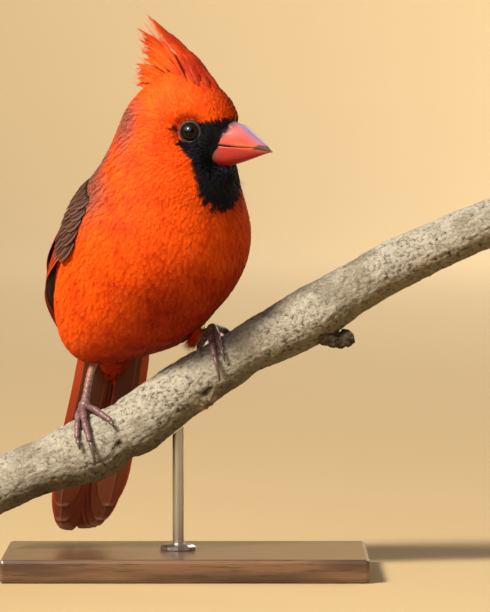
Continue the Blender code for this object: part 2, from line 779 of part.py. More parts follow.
def make_stand():
    bpy.ops.mesh.primitive_cube_add(size=1.0, location=(0.0, 0.0, BASE_HEIGHT / 2 * MM))
    base = bpy.context.active_object
    base.name = base.data.name = "stand_base"
    base.scale = (BASE_LENGTH * MM, BASE_DEPTH * MM, BASE_HEIGHT * MM)
    bpy.ops.object.transform_apply(location=False, rotation=False, scale=True)
    corner = base.modifiers.new("Edge", "BEVEL")
    corner.width = 1.5 * MM
    corner.segments = 2
    corner.limit_method = "ANGLE"
    base.data.materials.append(material("stand_walnut"))
    middle, along, top, radius = perch_line(ROD_X)
    under = middle[2] - radius / along[0] - 1.5 * GAP
    foot = BASE_HEIGHT + GAP
    angles = np.linspace(0.0, 2 * math.pi, 20, endpoint=False)

    def circle(radius, z, slant=0.0):
        return [
            (ROD_X + radius * math.cos(a), radius * math.sin(a), z + slant * radius * math.cos(a))
            for a in angles
        ]

    slant = along[2] / along[0]
    rings = [
        circle(7.0, foot),
        circle(7.0, foot + 1.2),
        circle(5.8, foot + 2.0),
        circle(ROD_RADIUS, foot + 2.6),
        circle(ROD_RADIUS, under - 5.0),
        circle(ROD_RADIUS, under - 0.4, slant),
    ]
    points, faces = ringed(rings)
    solid("stand_rod", points, faces, "stand_steel")


def toe(side_x, angles, spread, thickness, lift=1.6):
    """The middle line of a toe that wraps the perch, from its root to its last joint."""
    start, end = angles
    places = []
    for s in np.linspace(0.0, 1.0, 6):
        x = side_x + spread[0] + (spread[1] - spread[0]) * s ** 0.8
        angle = start + (end - start) * s
        places.append(on_perch(x, angle, thickness + GAP + lift * (1 - s) ** 2))
    return places


# Each toe: its root and end angle round the perch, its root and end offset along it, its claw's end
# angle and offset, and its thickness.
TOES = {
    "right": [
        ("middle", (84.0, 14.0), (-0.6, -4.2), (-29.0, -6.2), 1.35),
        ("inner", (80.0, 30.0), (1.2, 5.0), (12.0, 5.2), 1.2),
        ("outer", (82.0, 27.0), (-2.0, -8.2), (6.0, -8.8), 1.2),
        ("back", (108.0, 172.0), (0.4, 1.6), (214.0, 2.0), 1.35),
    ],
    "left": [
        ("middle", (80.0, 26.0), (-0.6, -4.0), (-26.0, -7.0), 1.35),
        ("inner", (86.0, 66.0), (-2.4, -7.0), (38.0, -8.4), 1.2),
        ("outer", (78.0, 32.0), (1.0, -0.8), (4.0, -2.1), 1.2),
        ("back", (104.0, 170.0), (1.8, 4.4), (212.0, 4.6), 1.3),
    ],
}
FOOT_X = {"right": -31.0, "left": 17.6}
# Where each leg goes above its foot; its last point is hidden in the belly.
LEG_ROUTE = {
    "right": [(-37.0, 6.0, 76.5), (-34.2, 9.6, 84.5), (-32.0, 12.5, 92.0)],
    "left": [(5.6, 6.6, 91.6), (2.0, 16.4, 88.0), (3.0, 15.0, 98.0)],
}
TARSUS_RADIUS = 1.45


def make_leg(side):
    x = FOOT_X[side]
    knuckle = on_perch(x, 88.0, 3.6)
    pieces = [sphere("knuckle", knuckle, 2.5, "leg_mauve", rings=7, around=12)]
    for toe_name, angles, spread, claw, radius in TOES[side]:
        path = toe(x, angles, spread, radius)
        path[0] = 0.5 * (np.asarray(path[0]) + knuckle)
        radii = [radius * k for k in (1.12, 1.0, 1.08, 0.92, 1.0, 0.78)]
        pieces.append(tube("toe", path, radii, "leg_mauve", around=7))
        make_claw(side, toe_name, x, angles[1], spread[1], claw, radius)
    joined(f"foot_{side}", pieces, "leg_mauve")
    first = np.array(LEG_ROUTE[side][0])
    start = knuckle + unit(first - knuckle) * (2.5 + GAP + TARSUS_RADIUS * 0.5)
    path = catmull([start] + LEG_ROUTE[side], 9)
    shares = np.linspace(0.0, 1.0, len(path))
    radii = TARSUS_RADIUS * np.interp(shares, (0.0, 0.2, 0.5, 0.75, 1.0), (1.3, 1.0, 1.0, 1.35, 1.6))
    return tube(f"leg_{side}", path, radii, "leg_mauve", around=10)


def make_claw(side, toe_name, x, angle, offset, claw, radius):
    """A curved, tapering claw from just beyond the toe's end to the bark."""
    end_angle, end_offset = claw
    turn = 6.5 if end_angle > angle else -6.5
    places, radii = [], []
    for s in np.linspace(0.0, 1.0, 4):
        a = angle + turn + (end_angle - angle - turn) * s
        height = radius + GAP + 0.5 + 1.3 * math.sin(math.pi * s) - (radius + 0.2) * s
        places.append(on_perch(x + offset + (end_offset - offset) * s, a, height))
        radii.append(radius * 0.66 * (1 - s) ** 0.75 + 0.16)
    return tube(f"claw_{side}_{toe_name}", places, radii, "claw_dark", around=6)


def clear_scene():
    for obj in list(bpy.data.objects):
        bpy.data.objects.remove(obj)


def remove(objects):
    for obj in objects:
        bpy.data.objects.remove(obj)


def make_head():
    sides = (1.0, -1.0)
    core = skin("core", head_stations(), 0.0, end=True)
    lids = [eyelid(side) for side in sides]
    head = joined("head", [core] + crest_feathers() + lids, "plumage_red")
    cutters = [bill("socket", "both", GAP)]
    for side in sides:
        cutters.append(sphere("hollow", eye_centre(side), EYE_RADIUS + GAP, "eye_dark", axis=eye_axis(side)))
    carve(head, cutters)
    remove(cutters)


def make_bill():
    bill("bill_lower", "lower")
    upper = bill("bill_upper", "upper")
    nostrils = [
        sphere("nostril", HEAD.point((21.8, 3.9 * side, 3.0)), 1.1, "bill_coral", rings=6, around=8)
        for side in (1.0, -1.0)
    ]
    carve(upper, nostrils)
    remove(nostrils)


def main():
    clear_scene()
    skin("torso", torso_stations(), 0.0, start=True)
    skin("neck", straight_stations(NECK_CUT, HEAD_CUT + GAP, 7), 0.0)
    make_head()
    make_bill()
    cutter = skin("cutter", torso_stations() + straight_stations(NECK_CUT - 3.0, 8.0, 9), GAP, True, True)
    for side_name, side in (("left", 1.0), ("right", -1.0)):
        sphere(f"eye_{side_name}", eye_centre(side), EYE_RADIUS, "eye_dark", axis=eye_axis(side))
        carve(make_wing(side_name, side), [cutter])
        carve(make_leg(side_name), [cutter])
    carve(make_tail(), [cutter])
    remove([cutter])
    make_perch()
    make_stand()


if __name__ == "__main__":
    main()
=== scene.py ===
"""A male northern cardinal in full plumage on its perch and display stand.

Lengths are in millimetres until a mesh is made. The bird's own frames, lobes and feather tracts
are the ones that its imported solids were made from.
"""

import math

import bpy
import numpy as np
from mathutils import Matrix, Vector, noise


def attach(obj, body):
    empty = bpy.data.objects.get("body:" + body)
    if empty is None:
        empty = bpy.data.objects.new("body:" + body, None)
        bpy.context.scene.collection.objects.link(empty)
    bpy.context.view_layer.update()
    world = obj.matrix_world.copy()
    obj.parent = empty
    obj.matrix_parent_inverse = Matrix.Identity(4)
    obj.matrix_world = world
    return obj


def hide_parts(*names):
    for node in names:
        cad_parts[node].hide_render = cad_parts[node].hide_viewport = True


bl_info = {
    "name": "Northern Cardinal On A Perch",
    "version": (1, 0, 0),
    "blender": (4, 5, 0),
    "location": "View3D > Sidebar > Cardinal",
    "description": "Adds a life-size male northern cardinal, feather by feather, on its stand",
    "category": "Add Mesh",
}

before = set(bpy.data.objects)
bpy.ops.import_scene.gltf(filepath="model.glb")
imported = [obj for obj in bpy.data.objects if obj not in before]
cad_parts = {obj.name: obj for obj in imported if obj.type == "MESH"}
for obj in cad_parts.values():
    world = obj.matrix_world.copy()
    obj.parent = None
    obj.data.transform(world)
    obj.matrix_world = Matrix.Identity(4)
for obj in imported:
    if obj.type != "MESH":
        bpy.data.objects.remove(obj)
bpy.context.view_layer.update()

MM = 0.001
SIDES = (("left", 1.0), ("right", -1.0))

# Frames of the bird.
BODY_CENTRE = (-14.6, 2.0, 121.5)
BODY_YAW = 25.0
BODY_PITCH = 50.0
HEAD_CENTRE = (-1.1, -23.4, 171.5)
HEAD_YAW = 66.0
HEAD_PITCH = -8.0
TAIL_ROOT = (-27.8, 31.5, 92.0)
TAIL_WAY = (-0.185, 0.225, -0.957)
SOFTNESS = 3.2
EYE_PLACE = (7.8, 8.6, -0.4)
EYE_RADIUS = 4.2
NECK_CUT = 36.0

# The photograph's frame, and where its picture stands in the room.
PICTURE_HEIGHT = 612.0
PIXELS_PER_MM = 2.6
CAMERA_AWAY = 2.2
CAMERA_RAISED = 2.0
AIM = (22.7, 0.0, 103.1)

# Seeds of the random draws, so that each run grows the same feathers.
ROOT_SEED = 11
TRACT_SEED = 20
CREST_SEED = 5
CREST_BARB_SEED = 6
WISP_SEED = 71
WING_SEED = 31
TAIL_SEED = 41

FULL_TURN = 2 * math.pi


def unit(vectors):
    vectors = np.asarray(vectors, float)
    return vectors / np.maximum(np.linalg.norm(vectors, axis=-1, keepdims=True), 1e-9)


def dot(a, b):
    return np.sum(np.asarray(a) * np.asarray(b), axis=-1, keepdims=True)


def smooth(low, high, value):
    """A soft step from 0 at low to 1 at high."""
    share = np.clip((np.asarray(value, float) - low) / (high - low), 0.0, 1.0)
    return share * share * (3.0 - 2.0 * share)


def profile(outline, place):
    """The value at a place on a line that is given as places and their values."""
    places, values = zip(*outline)
    return np.interp(place, places, values)


def stacked(*parts):
    """Points or ways from their three parts, any of which may be one number for all."""
    return np.stack(np.broadcast_arrays(*parts), axis=-1)


def turned(yaw, pitch):
    yaw, pitch = math.radians(yaw), math.radians(pitch)
    heading = np.array([math.sin(yaw), -math.cos(yaw), 0.0])
    forward = math.cos(pitch) * heading + math.sin(pitch) * np.array([0.0, 0.0, 1.0])
    left = np.array([math.cos(yaw), math.sin(yaw), 0.0])
    return forward, left, np.cross(forward, left)


def leaning(back, left):
    forward = -unit(back)
    left = unit(np.asarray(left) - forward * (np.asarray(left) @ forward))
    return forward, left, np.cross(forward, left)


class Frame:
    """A place on the bird and its own forward, left and up directions."""

    def __init__(self, origin, forward, left, up):
        self.origin = np.array(origin, float)
        self.axes = np.array([forward, left, up])

    def point(self, place):
        return self.origin + np.asarray(place, float) @ self.axes

    def way(self, direction):
        return np.asarray(direction, float) @ self.axes

    def local(self, points):
        return (points - self.origin) @ self.axes.T


ROOM = Frame((0.0, 0.0, 0.0), (1.0, 0.0, 0.0), (0.0, 1.0, 0.0), (0.0, 0.0, 1.0))
BODY = Frame(BODY_CENTRE, *turned(BODY_YAW, BODY_PITCH))
HEAD = Frame(HEAD_CENTRE, *turned(HEAD_YAW, HEAD_PITCH))
TAIL = Frame(TAIL_ROOT, *leaning(TAIL_WAY, BODY.axes[1]))
NECK_WAY = unit(HEAD.origin - BODY.origin)
RUMP = BODY.point((-34.0, 0.0, 3.0))

# Each lobe of the plumage: the frame that it belongs to, its middle and its three radii.
LOBES = [
    (BODY, (-7.0, -1.0, -2.0), (37.0, 33.5, 31.0)),
    (BODY, (14.0, 0.5, -5.0), (32.0, 34.0, 29.0)),
    (BODY, (12.0, 0.0, 5.0), (34.0, 31.0, 24.0)),
    (BODY, (-32.0, 0.0, 8.0), (17.0, 14.0, 11.0)),
    (BODY, (36.0, 0.5, 4.0), (22.0, 25.0, 23.0)),
    (HEAD, (0.0, 0.0, 0.0), (18.5, 11.6, 14.0)),
    (HEAD, (-11.0, 0.0, -6.0), (13.0, 13.0, 18.0)),
    (HEAD, (3.0, 5.0, -7.0), (10.0, 6.5, 8.0)),
    (HEAD, (3.0, -5.0, -7.0), (10.0, 6.5, 8.0)),
    (HEAD, (13.0, 0.0, -1.0), (8.5, 7.5, 8.0)),
    (HEAD, (12.0, 0.0, -15.0), (10.5, 9.0, 9.0)),
    (HEAD, (6.0, 0.0, 7.5), (13.0, 7.0, 9.5)),
    (HEAD, (-3.0, 0.0, 12.0), (11.0, 5.0, 9.5)),
    (TAIL, (-2.0, 0.0, -4.0), (17.0, 8.0, 4.2)),
    (BODY, (-25.0, -14.5, -5.0), (20.0, 15.5, 15.5)),
]
# Where the plumage is pressed in: round each eye, over the left foot, under the belly and round the chin.
HOLLOWS = [
    (HEAD, EYE_PLACE, 2.6, 6.5),
    (HEAD, np.array(EYE_PLACE) * (1.0, -1.0, 1.0), 2.6, 6.5),
    (ROOM, (7.0, 4.0, 96.0), 2.6, 11.0),
    (ROOM, (-10.0, 4.0, 80.0), 5.0, 16.0),
    (HEAD, (18.0, 5.5, -10.5), 2.4, 4.6),
    (HEAD, (18.0, -5.5, -10.5), 2.4, 4.6),
]


def plumage(points):
    """How far points lie outside the blended lobes; negative inside."""
    total = np.zeros(points.shape[:-1])
    for place_frame, middle, radii in LOBES:
        radii = np.array(radii)
        place = place_frame.local(points) - np.array(middle)
        near = np.linalg.norm(place / radii, axis=-1)
        steep = np.linalg.norm(place / radii**2, axis=-1)
        total += np.exp(-near * (near - 1.0) / np.maximum(steep, 1e-9) / SOFTNESS)
    pressed = np.zeros(points.shape[:-1])
    for place_frame, place, depth, spread in HOLLOWS:
        away = place_frame.local(points) - np.array(place)
        pressed += depth * np.exp(-np.sum(away**2, axis=-1) / spread**2)
    return pressed - SOFTNESS * np.log(np.maximum(total, 1e-12))


def outward(points, step=0.4):
    """The plumage's outward direction at each point."""
    slope = [plumage(points + step * axis) - plumage(points - step * axis) for axis in np.eye(3)]
    return unit(np.stack(slope, axis=-1))


def settled(points, level, rounds=2):
    """Points moved in or out until they lie level outside the plumage's lobes."""
    for _ in range(rounds):
        points = points - outward(points) * (plumage(points) - level)[..., None]
    return points


def reach(starts, ways, level=0.0, far=60.0, steps=60):
    """How far each ray from inside the plumage runs before it is level outside it."""
    lengths = np.linspace(0.0, far, steps)
    outside = np.array([plumage(starts + length * ways) > level for length in lengths])
    outside[-1] = True
    first = np.maximum(outside.argmax(axis=0), 1)
    low, high = lengths[first - 1], lengths[first]
    for _ in range(12):
        middle = (low + high) / 2
        out = plumage(starts + middle[..., None] * ways) > level
        low, high = np.where(out, low, middle), np.where(out, middle, high)
    return (low + high) / 2


def catmull(points, count):
    """A smooth line through points, read at evenly spaced shares of it."""
    points = np.asarray(points, float)
    ends = np.vstack([2 * points[0] - points[1], points, 2 * points[-1] - points[-2]])
    shares = np.linspace(0.0, len(points) - 1, count)
    first = np.minimum(shares.astype(int), len(points) - 2)
    t = (shares - first)[:, None]
    p0, p1, p2, p3 = (ends[first + k] for k in range(4))
    return 0.5 * (
        2 * p1 + (p2 - p0) * t + (2 * p0 - 5 * p1 + 4 * p2 - p3) * t**2 + (3 * p1 - p0 - 3 * p2 + p3) * t**3
    )


# Making meshes.


def deselect():
    bpy.ops.object.select_all(action="DESELECT")


def dressed(obj, name, replaced=()):
    """Names a finished piece, hangs it from the root body and hides the nodes that it replaces."""
    obj.name = name
    obj.data.name = name
    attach(obj, "root")
    if replaced:
        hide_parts(*replaced)
    return obj


def vertices_of(obj):
    """The places of an object's vertices, in metres."""
    places = np.zeros(len(obj.data.vertices) * 3)
    obj.data.vertices.foreach_get("co", places)
    return places.reshape(-1, 3)


def move_vertices(obj, places):
    obj.data.vertices.foreach_set("co", places.ravel())
    obj.data.update()


def finish_surface():
    """Turns the faces of the active closed form outwards and shades it smooth."""
    bpy.ops.object.mode_set(mode="EDIT")
    bpy.ops.mesh.select_all(action="SELECT")
    bpy.ops.mesh.normals_make_consistent(inside=False)
    bpy.ops.object.mode_set(mode="OBJECT")
    bpy.ops.object.shade_smooth()


def ball(centre, radius, segments, rings):
    """A round ball whose place is in its mesh."""
    deselect()
    bpy.ops.mesh.primitive_uv_sphere_add(
        segments=segments, ring_count=rings, radius=radius * MM, location=centre * MM
    )
    bpy.ops.object.transform_apply(location=True, rotation=True, scale=True)
    bpy.ops.object.shade_smooth()
    return bpy.context.active_object


def loft(rings, start, end):
    """A closed skin through rings of points: a sphere whose rings are moved onto them."""
    rings = np.asarray(rings, float)
    count, around = rings.shape[:2]
    deselect()
    bpy.ops.mesh.primitive_uv_sphere_add(segments=around, ring_count=count + 1, radius=1.0)
    obj = bpy.context.active_object
    places = vertices_of(obj)
    latitude = np.arcsin(np.clip(places[:, 2], -1.0, 1.0)) / math.pi + 0.5
    row = np.rint(latitude * (count + 1)).astype(int)
    longitude = np.arctan2(places[:, 1], places[:, 0]) / FULL_TURN
    column = np.rint(longitude * around).astype(int) % around
    moved = rings[np.clip(row - 1, 0, count - 1), column]
    moved[row == 0] = start
    moved[row == count + 1] = end
    move_vertices(obj, moved * MM)
    finish_surface()
    return obj, row, column


def path_rings(path, radii, around):
    """Rings of a round bar along a path, with their outward directions."""
    path = np.asarray(path, float)
    tangents = unit(np.gradient(path, axis=0))
    side = unit(np.cross(np.broadcast_to(ROOM.axes[2], path.shape), tangents))
    over = np.cross(tangents, side)
    angles = np.linspace(0.0, FULL_TURN, around, endpoint=False)
    ways = np.cos(angles)[None, :, None] * side[:, None] + np.sin(angles)[None, :, None] * over[:, None]
    return path[:, None] + np.asarray(radii, float)[:, None, None] * ways, ways


def domes(path, radii, height):
    """The points that close a bar's ends, each a share of the end's radius beyond its path."""
    start = path[0] - unit(path[1] - path[0]) * radii[0] * height
    end = path[-1] + unit(path[-1] - path[-2]) * radii[-1] * height
    return start, end


def joined(objects):
    """The first object with the others joined to it."""
    deselect()
    for obj in objects:
        obj.select_set(True)
    bpy.context.view_layer.objects.active = objects[0]
    bpy.ops.object.join()
    return objects[0]


def painted(obj, material):
    obj.data.materials.clear()
    obj.data.materials.append(material)
    return obj


def numbers(mesh, name, values):
    """Stores one number, or four as a colour, for each vertex of a mesh."""
    values = np.asarray(values, np.float32)
    kind, field = ("FLOAT", "value") if values.ndim == 1 else ("FLOAT_COLOR", "color")
    mesh.attributes.new(name, kind, "POINT").data.foreach_set(field, values.ravel())


def many(name, points, triangles, normals=None):
    """One mesh from arrays of points and triangles: many small closed forms."""
    mesh = bpy.data.meshes.new(name)
    mesh.vertices.add(len(points))
    mesh.vertices.foreach_set("co", (points * MM).astype(np.float32).ravel())
    mesh.loops.add(triangles.size)
    mesh.loops.foreach_set("vertex_index", triangles.astype(np.int32).ravel())
    mesh.polygons.add(len(triangles))
    mesh.polygons.foreach_set("loop_start", np.arange(0, triangles.size, 3, dtype=np.int32))
    mesh.polygons.foreach_set("use_smooth", np.ones(len(triangles), bool))
    mesh.update(calc_edges=True)
    if normals is not None:
        mesh.normals_split_custom_set_from_vertices(normals.astype(np.float32))
    obj = bpy.data.objects.new(name, mesh)
    bpy.context.scene.collection.objects.link(obj)
    return obj


def bake_map(mesh, places):
    """The UV map that a bake of the coat uses, from a place for each vertex."""
    layer = mesh.uv_layers.new(name="OFBake")
    corners = np.zeros(len(mesh.loops), np.int32)
    mesh.loops.foreach_get("vertex_index", corners)
    layer.data.foreach_set("uv", places[corners].astype(np.float32).ravel())


# Markings: how black, grey-brown and crimson the plumage is at a place, and how much painted shade darkens
# it.

# The edge between the red cheek and the black mask: height on the head, from the bib's foot upwards, and
# how far forward the edge lies there.
MASK_EDGE = [
    (-40.0, 17.0),
    (-29.0, 16.0),
    (-25.5, 14.0),
    (-23.0, 14.6),
    (-18.0, 13.9),
    (-13.3, 12.2),
    (-8.8, 9.9),
    (-6.9, 7.0),
    (-5.3, 4.2),
    (-4.0, 5.0),
    (-2.0, 8.0),
    (1.5, 9.0),
    (3.2, 10.8),
    (4.8, 17.4),
    (6.4, 20.0),
    (9.0, 22.6),
]
BIB_FOOT = -27.7
# The dark corner behind each eye, forward and up on the head.
EYE_CORNER = (2.4, -0.1)
# How far the grey-brown of the back comes down the sides, from the rump forwards.
MANTLE_LIMIT = [(-40.0, 0.2), (0.0, 0.12), (16.0, -0.12), (45.0, -0.05)]
SHOULDER = (28.0, 29.0, 7.0)
# The way that the plumage faces where painted shade darkens it: down and away from the key light.
SHADED_SIDE_WAY = (0.35, 0.0, -0.94)


def mask_share(head):
    """How black places on the head are: mask, bib with its ragged foot, and the corner behind the eye."""
    forward, across, up = head[:, 0], head[:, 1], head[:, 2]
    aside = np.abs(across)
    foot = BIB_FOOT + 0.62 * np.maximum(aside - 3.5, 0.0)
    foot = foot + 0.8 * np.sin(across * 1.9) + 0.6 * np.sin(across * 4.3)
    black = smooth(-0.35, 0.5, forward - profile(MASK_EDGE, up)) * smooth(-0.6, 0.6, up - foot)
    corner = np.hypot((forward - EYE_CORNER[0]) / 1.6, (up - EYE_CORNER[1]) / 0.75)
    return np.maximum(black, (1.0 - smooth(0.7, 1.2, corner)) * smooth(5.0, 7.0, aside) * 0.85)


def mantle_share(head, body, facing):
    """How grey-brown places are: the back, the nape and the shoulder over the folded wing."""
    along = body[:, 0]
    grey = smooth(0.0, 0.55, facing - profile(MANTLE_LIMIT, along))
    grey = grey * smooth(-60.0, -30.0, along) * (1.0 - smooth(36.0, 66.0, along))
    nape = np.maximum(smooth(-0.1, 0.6, facing), smooth(-9.0, -17.0, head[:, 0]))
    nape = 0.95 * nape * smooth(40.0, 58.0, along) * (1.0 - smooth(2.0, 14.0, head[:, 2]))
    either_side = body * (1.0, 0.0, 1.0) + np.abs(body) * (0.0, 1.0, 0.0)
    away = np.linalg.norm(either_side - SHOULDER, axis=1)
    shoulder = 0.85 * (1.0 - smooth(4.0, 18.0, away))
    return np.maximum(np.maximum(grey, nape), shoulder)


def markings(points, ways):
    """Black, grey-brown and crimson shares, and a share of painted shade below, for points of the plumage
    that face ways.
    """
    head, body = HEAD.local(points), BODY.local(points)
    brow = 0.6 * smooth(2.0, 15.0, head[:, 0]) * smooth(4.0, 12.0, head[:, 2])
    crimson = np.maximum(brow, 0.75 * (1.0 - smooth(4.5, 8.5, from_eye(points))))
    # Painted shade: how far the plumage faces down and away from the key light.
    belly = smooth(0.15, 0.85, ways @ np.array(SHADED_SIDE_WAY))
    grey = mantle_share(head, body, ways @ BODY.axes[2])
    return np.stack([mask_share(head), grey, crimson, belly], axis=1)


# Materials.

BLACK, WHITE = (0.0, 0.0, 0.0), (1.0, 1.0, 1.0)
# Fixed tints; the colours that a user would change are among the settings.
TINTS = {
    "painted shade below": (0.16, 0.003, 0.002),
    "frosted tips": (0.50, 0.20, 0.14),
    "mask sheen": (0.016, 0.017, 0.028),
    "covert": (0.034, 0.014, 0.010),
    "covert edge": (0.13, 0.050, 0.036),
    "tail": (0.42, 0.11, 0.048),
    "tail edge": (0.66, 0.09, 0.026),
    "worn tip": (0.52, 0.24, 0.16),
    "shaft": (0.26, 0.085, 0.05),
    "painted shade between barbs": (0.45, 0.42, 0.42),
    "bill mottle": (0.42, 0.042, 0.036),
    "bill rose": (0.48, 0.13, 0.14),
    "painted ridge sheen": (0.27, 0.19, 0.36),
    "painted shade at bill base": (0.07, 0.03, 0.035),
    "bill below": (0.32, 0.004, 0.006),
    "bill root": (0.46, 0.19, 0.22),
    "bill cutting edge": (0.55, 0.14, 0.035),
    "bill tip": (0.085, 0.045, 0.04),
    "gape": (0.03, 0.012, 0.012),
    "iris": (0.007, 0.004, 0.003),
    "iris fleck": (0.016, 0.008, 0.005),
    "pupil": (0.0015, 0.0015, 0.002),
    "eye rim": (0.006, 0.005, 0.005),
    "painted eye reflection": (0.05, 0.075, 0.12),
    "lid": (0.010, 0.009, 0.010),
    "lid edge": (0.085, 0.075, 0.072),
    "lid grain": (0.05, 0.044, 0.042),
    "bark crevice": (0.062, 0.050, 0.036),
    "bark flakes": (0.68, 0.67, 0.61),
    "bark brown": (0.20, 0.155, 0.09),
    "bark fibre": (0.60, 0.55, 0.44),
    "bark pit": (0.020, 0.014, 0.010),
    "bare wood": (0.72, 0.67, 0.56),
    "painted shade under bark": (0.52, 0.48, 0.36),
    "early wood": (0.46, 0.33, 0.20),
    "late wood": (0.24, 0.15, 0.085),
    "foot dark": (0.085, 0.040, 0.052),
    "foot pale": (0.21, 0.115, 0.13),
    "shank tan": (0.36, 0.17, 0.105),
    "scale edge": (0.045, 0.022, 0.024),
    "claw dark": (0.055, 0.038, 0.034),
    "claw pale": (0.15, 0.105, 0.09),
    "walnut dark": (0.050, 0.022, 0.011),
    "walnut pale": (0.17, 0.085, 0.042),
    "walnut pore": (0.022, 0.010, 0.006),
    "steel dark": (0.42, 0.41, 0.39),
    "steel pale": (0.58, 0.57, 0.55),
    "paper dark": (0.46, 0.335, 0.175),
    "paper pale": (0.52, 0.385, 0.205),
}


class Link:
    """A socket of a shader graph that takes part in plain arithmetic."""

    def __init__(self, graph, socket):
        self.graph = graph
        self.socket = socket

    def maths(self, operation, *values):
        return self.graph.node("ShaderNodeMath", {"operation": operation}, values)

    def __add__(self, other):
        return self.maths("ADD", self, other)

    def __sub__(self, other):
        return self.maths("SUBTRACT", self, other)

    def __mul__(self, other):
        return self.maths("MULTIPLY", self, other)

    def __pow__(self, other):
        return self.maths("POWER", self, other)

    def __rsub__(self, other):
        return self.maths("SUBTRACT", other, self)

    def __abs__(self):
        return self.maths("ABSOLUTE", self)

    def sine(self):
        return self.maths("SINE", self)

    __radd__ = __add__
    __rmul__ = __mul__


class Graph:
    """A material's shader graph."""

    def __init__(self, name):
        self.material = bpy.data.materials.new(name)
        self.material.use_nodes = True
        self.tree = self.material.node_tree
        self.shader = self.tree.nodes["Principled BSDF"]

    def node(self, kind, settings=None, inputs=(), output=0):
        """Adds a node: its type, its settings, then the values or links of its sockets."""
        made = self.tree.nodes.new(kind)
        for name, value in (settings or {}).items():
            setattr(made, name, value)
        pairs = inputs.items() if isinstance(inputs, dict) else enumerate(inputs)
        for key, value in pairs:
            self.put(made.inputs[key], value)
        return Link(self, made.outputs[output])

    def put(self, socket, value):
        if isinstance(value, Link):
            self.tree.links.new(value.socket, socket)
        else:
            socket.default_value = value

    def place(self):
        return self.node("ShaderNodeTexCoord", output="Object")

    def step(self, value, low, high):
        """A soft step of a value from 0 at low to 1 at high."""
        settings = {"interpolation_type": "SMOOTHSTEP", "clamp": True}
        return self.node("ShaderNodeMapRange", settings, {"Value": value, "From Min": low, "From Max": high})

    def blend(self, factor, first, second, way="MIX"):
        """A mix of two colours."""
        settings = {"data_type": "RGBA", "blend_type": way, "clamp_factor": True}
        first = first if isinstance(first, Link) else rgba(first)
        second = second if isinstance(second, Link) else rgba(second)
        return self.node("ShaderNodeMix", settings, {0: factor, 6: first, 7: second}, 2)

    def darkened(self, colour, tint):
        """A colour multiplied by a tint."""
        return self.blend(1.0, colour, tint, "MULTIPLY")

    def noise(self, where, scale, detail=3.0, roughness=0.55):
        inputs = {"Vector": where, "Scale": scale, "Detail": detail, "Roughness": roughness}
        return self.node("ShaderNodeTexNoise", None, inputs)

    def cells(self, scale):
        return self.node("ShaderNodeTexVoronoi", None, {"Vector": self.place(), "Scale": scale})

    def stretched(self, where, scale, turn=(0.0, 0.0, 0.0)):
        return self.node("ShaderNodeMapping", None, {"Vector": where, "Scale": scale, "Rotation": turn})

    def attribute(self, name, output):
        return self.node("ShaderNodeAttribute", {"attribute_name": name}, output=output)

    def number(self, name):
        return self.attribute(name, "Fac")

    def parts(self, name):
        """Red, green and blue of a colour attribute."""
        split = self.node("ShaderNodeSeparateColor", None, (self.attribute(name, "Color"),))
        return [Link(self, split.socket.node.outputs[i]) for i in range(3)]

    def local(self, place_frame):
        """Forward, left and up places in a frame, in millimetres."""
        centre = tuple(float(c) * MM for c in place_frame.origin)
        away = self.node("ShaderNodeVectorMath", {"operation": "SUBTRACT"}, (self.place(), centre))
        found = []
        for axis in place_frame.axes:
            way = tuple(float(c) for c in axis)
            along = self.node("ShaderNodeVectorMath", {"operation": "DOT_PRODUCT"}, (away, way), "Value")
            found.append(along * (1.0 / MM))
        return found

    def bump(self, height, strength, distance):
        inputs = {"Height": height, "Strength": strength, "Distance": distance}
        return self.node("ShaderNodeBump", None, inputs)

    def finish(self, **sockets):
        for name, value in sockets.items():
            self.put(self.shader.inputs[name.replace("_", " ")], value)
        return self.material


def rgba(colour):
    return (*colour[:3], 1.0)


def shared(name, look, *values):
    """The material of that name, made by its look the first time that it is asked for."""
    return bpy.data.materials.get(name) or look(Graph(name), *values)


def chosen():
    """The sizes and colours in the sidebar."""
    return bpy.context.scene.cardinal


def plumage_look(g):
    """Soft body feathers: orange-red, crimson over the brow, black round the bill, grey-brown on the back."""
    look = chosen()
    black, grey, crimson = g.parts("marks")
    # The marks' fourth part is the share of painted shade below.
    belly = g.attribute("marks", "Alpha")
    strand, shade = g.number("strand"), g.number("shade")
    broad = g.noise(g.place(), 95.0, 2.0)
    fine = g.noise(g.place(), 620.0, 3.0)
    warmth = g.step(broad * 0.95 + fine * 0.3 + shade * 0.3 + strand * 0.2, 0.38, 1.15)
    red = g.blend(warmth, look.deep_red, look.orange_red)
    # Painted shade: plumage that faces down and away from the key light is darkened towards a deep crimson.
    red = g.blend(belly * (1.0 - warmth * 0.3), red, TINTS["painted shade below"])
    red = g.blend(crimson * (1.1 - warmth * 0.45), red, look.crimson)
    mantle = g.blend(strand * 0.75 + shade * 0.3, look.crimson, look.mantle)
    body = g.blend(grey * (0.75 + fine * 0.5), red, mantle)
    frost = g.step(shade, 0.84, 0.92) * g.step(broad, 0.5, 0.58) * 0.25
    body = g.blend(frost, body, TINTS["frosted tips"])
    mask = g.blend(shade * strand, look.mask, TINTS["mask sheen"])
    body = g.blend(black, body, mask)
    # Painted shade: the colour darkens towards the barbs' roots and the skin, deep in the coat.
    depth = g.step(strand, 0.0, 0.55) * 0.28 + 0.72
    body = g.darkened(body, g.blend(depth, BLACK, WHITE))
    return g.finish(Base_Color=body, Roughness=0.66 - black * 0.1, Specular_IOR_Level=0.12)


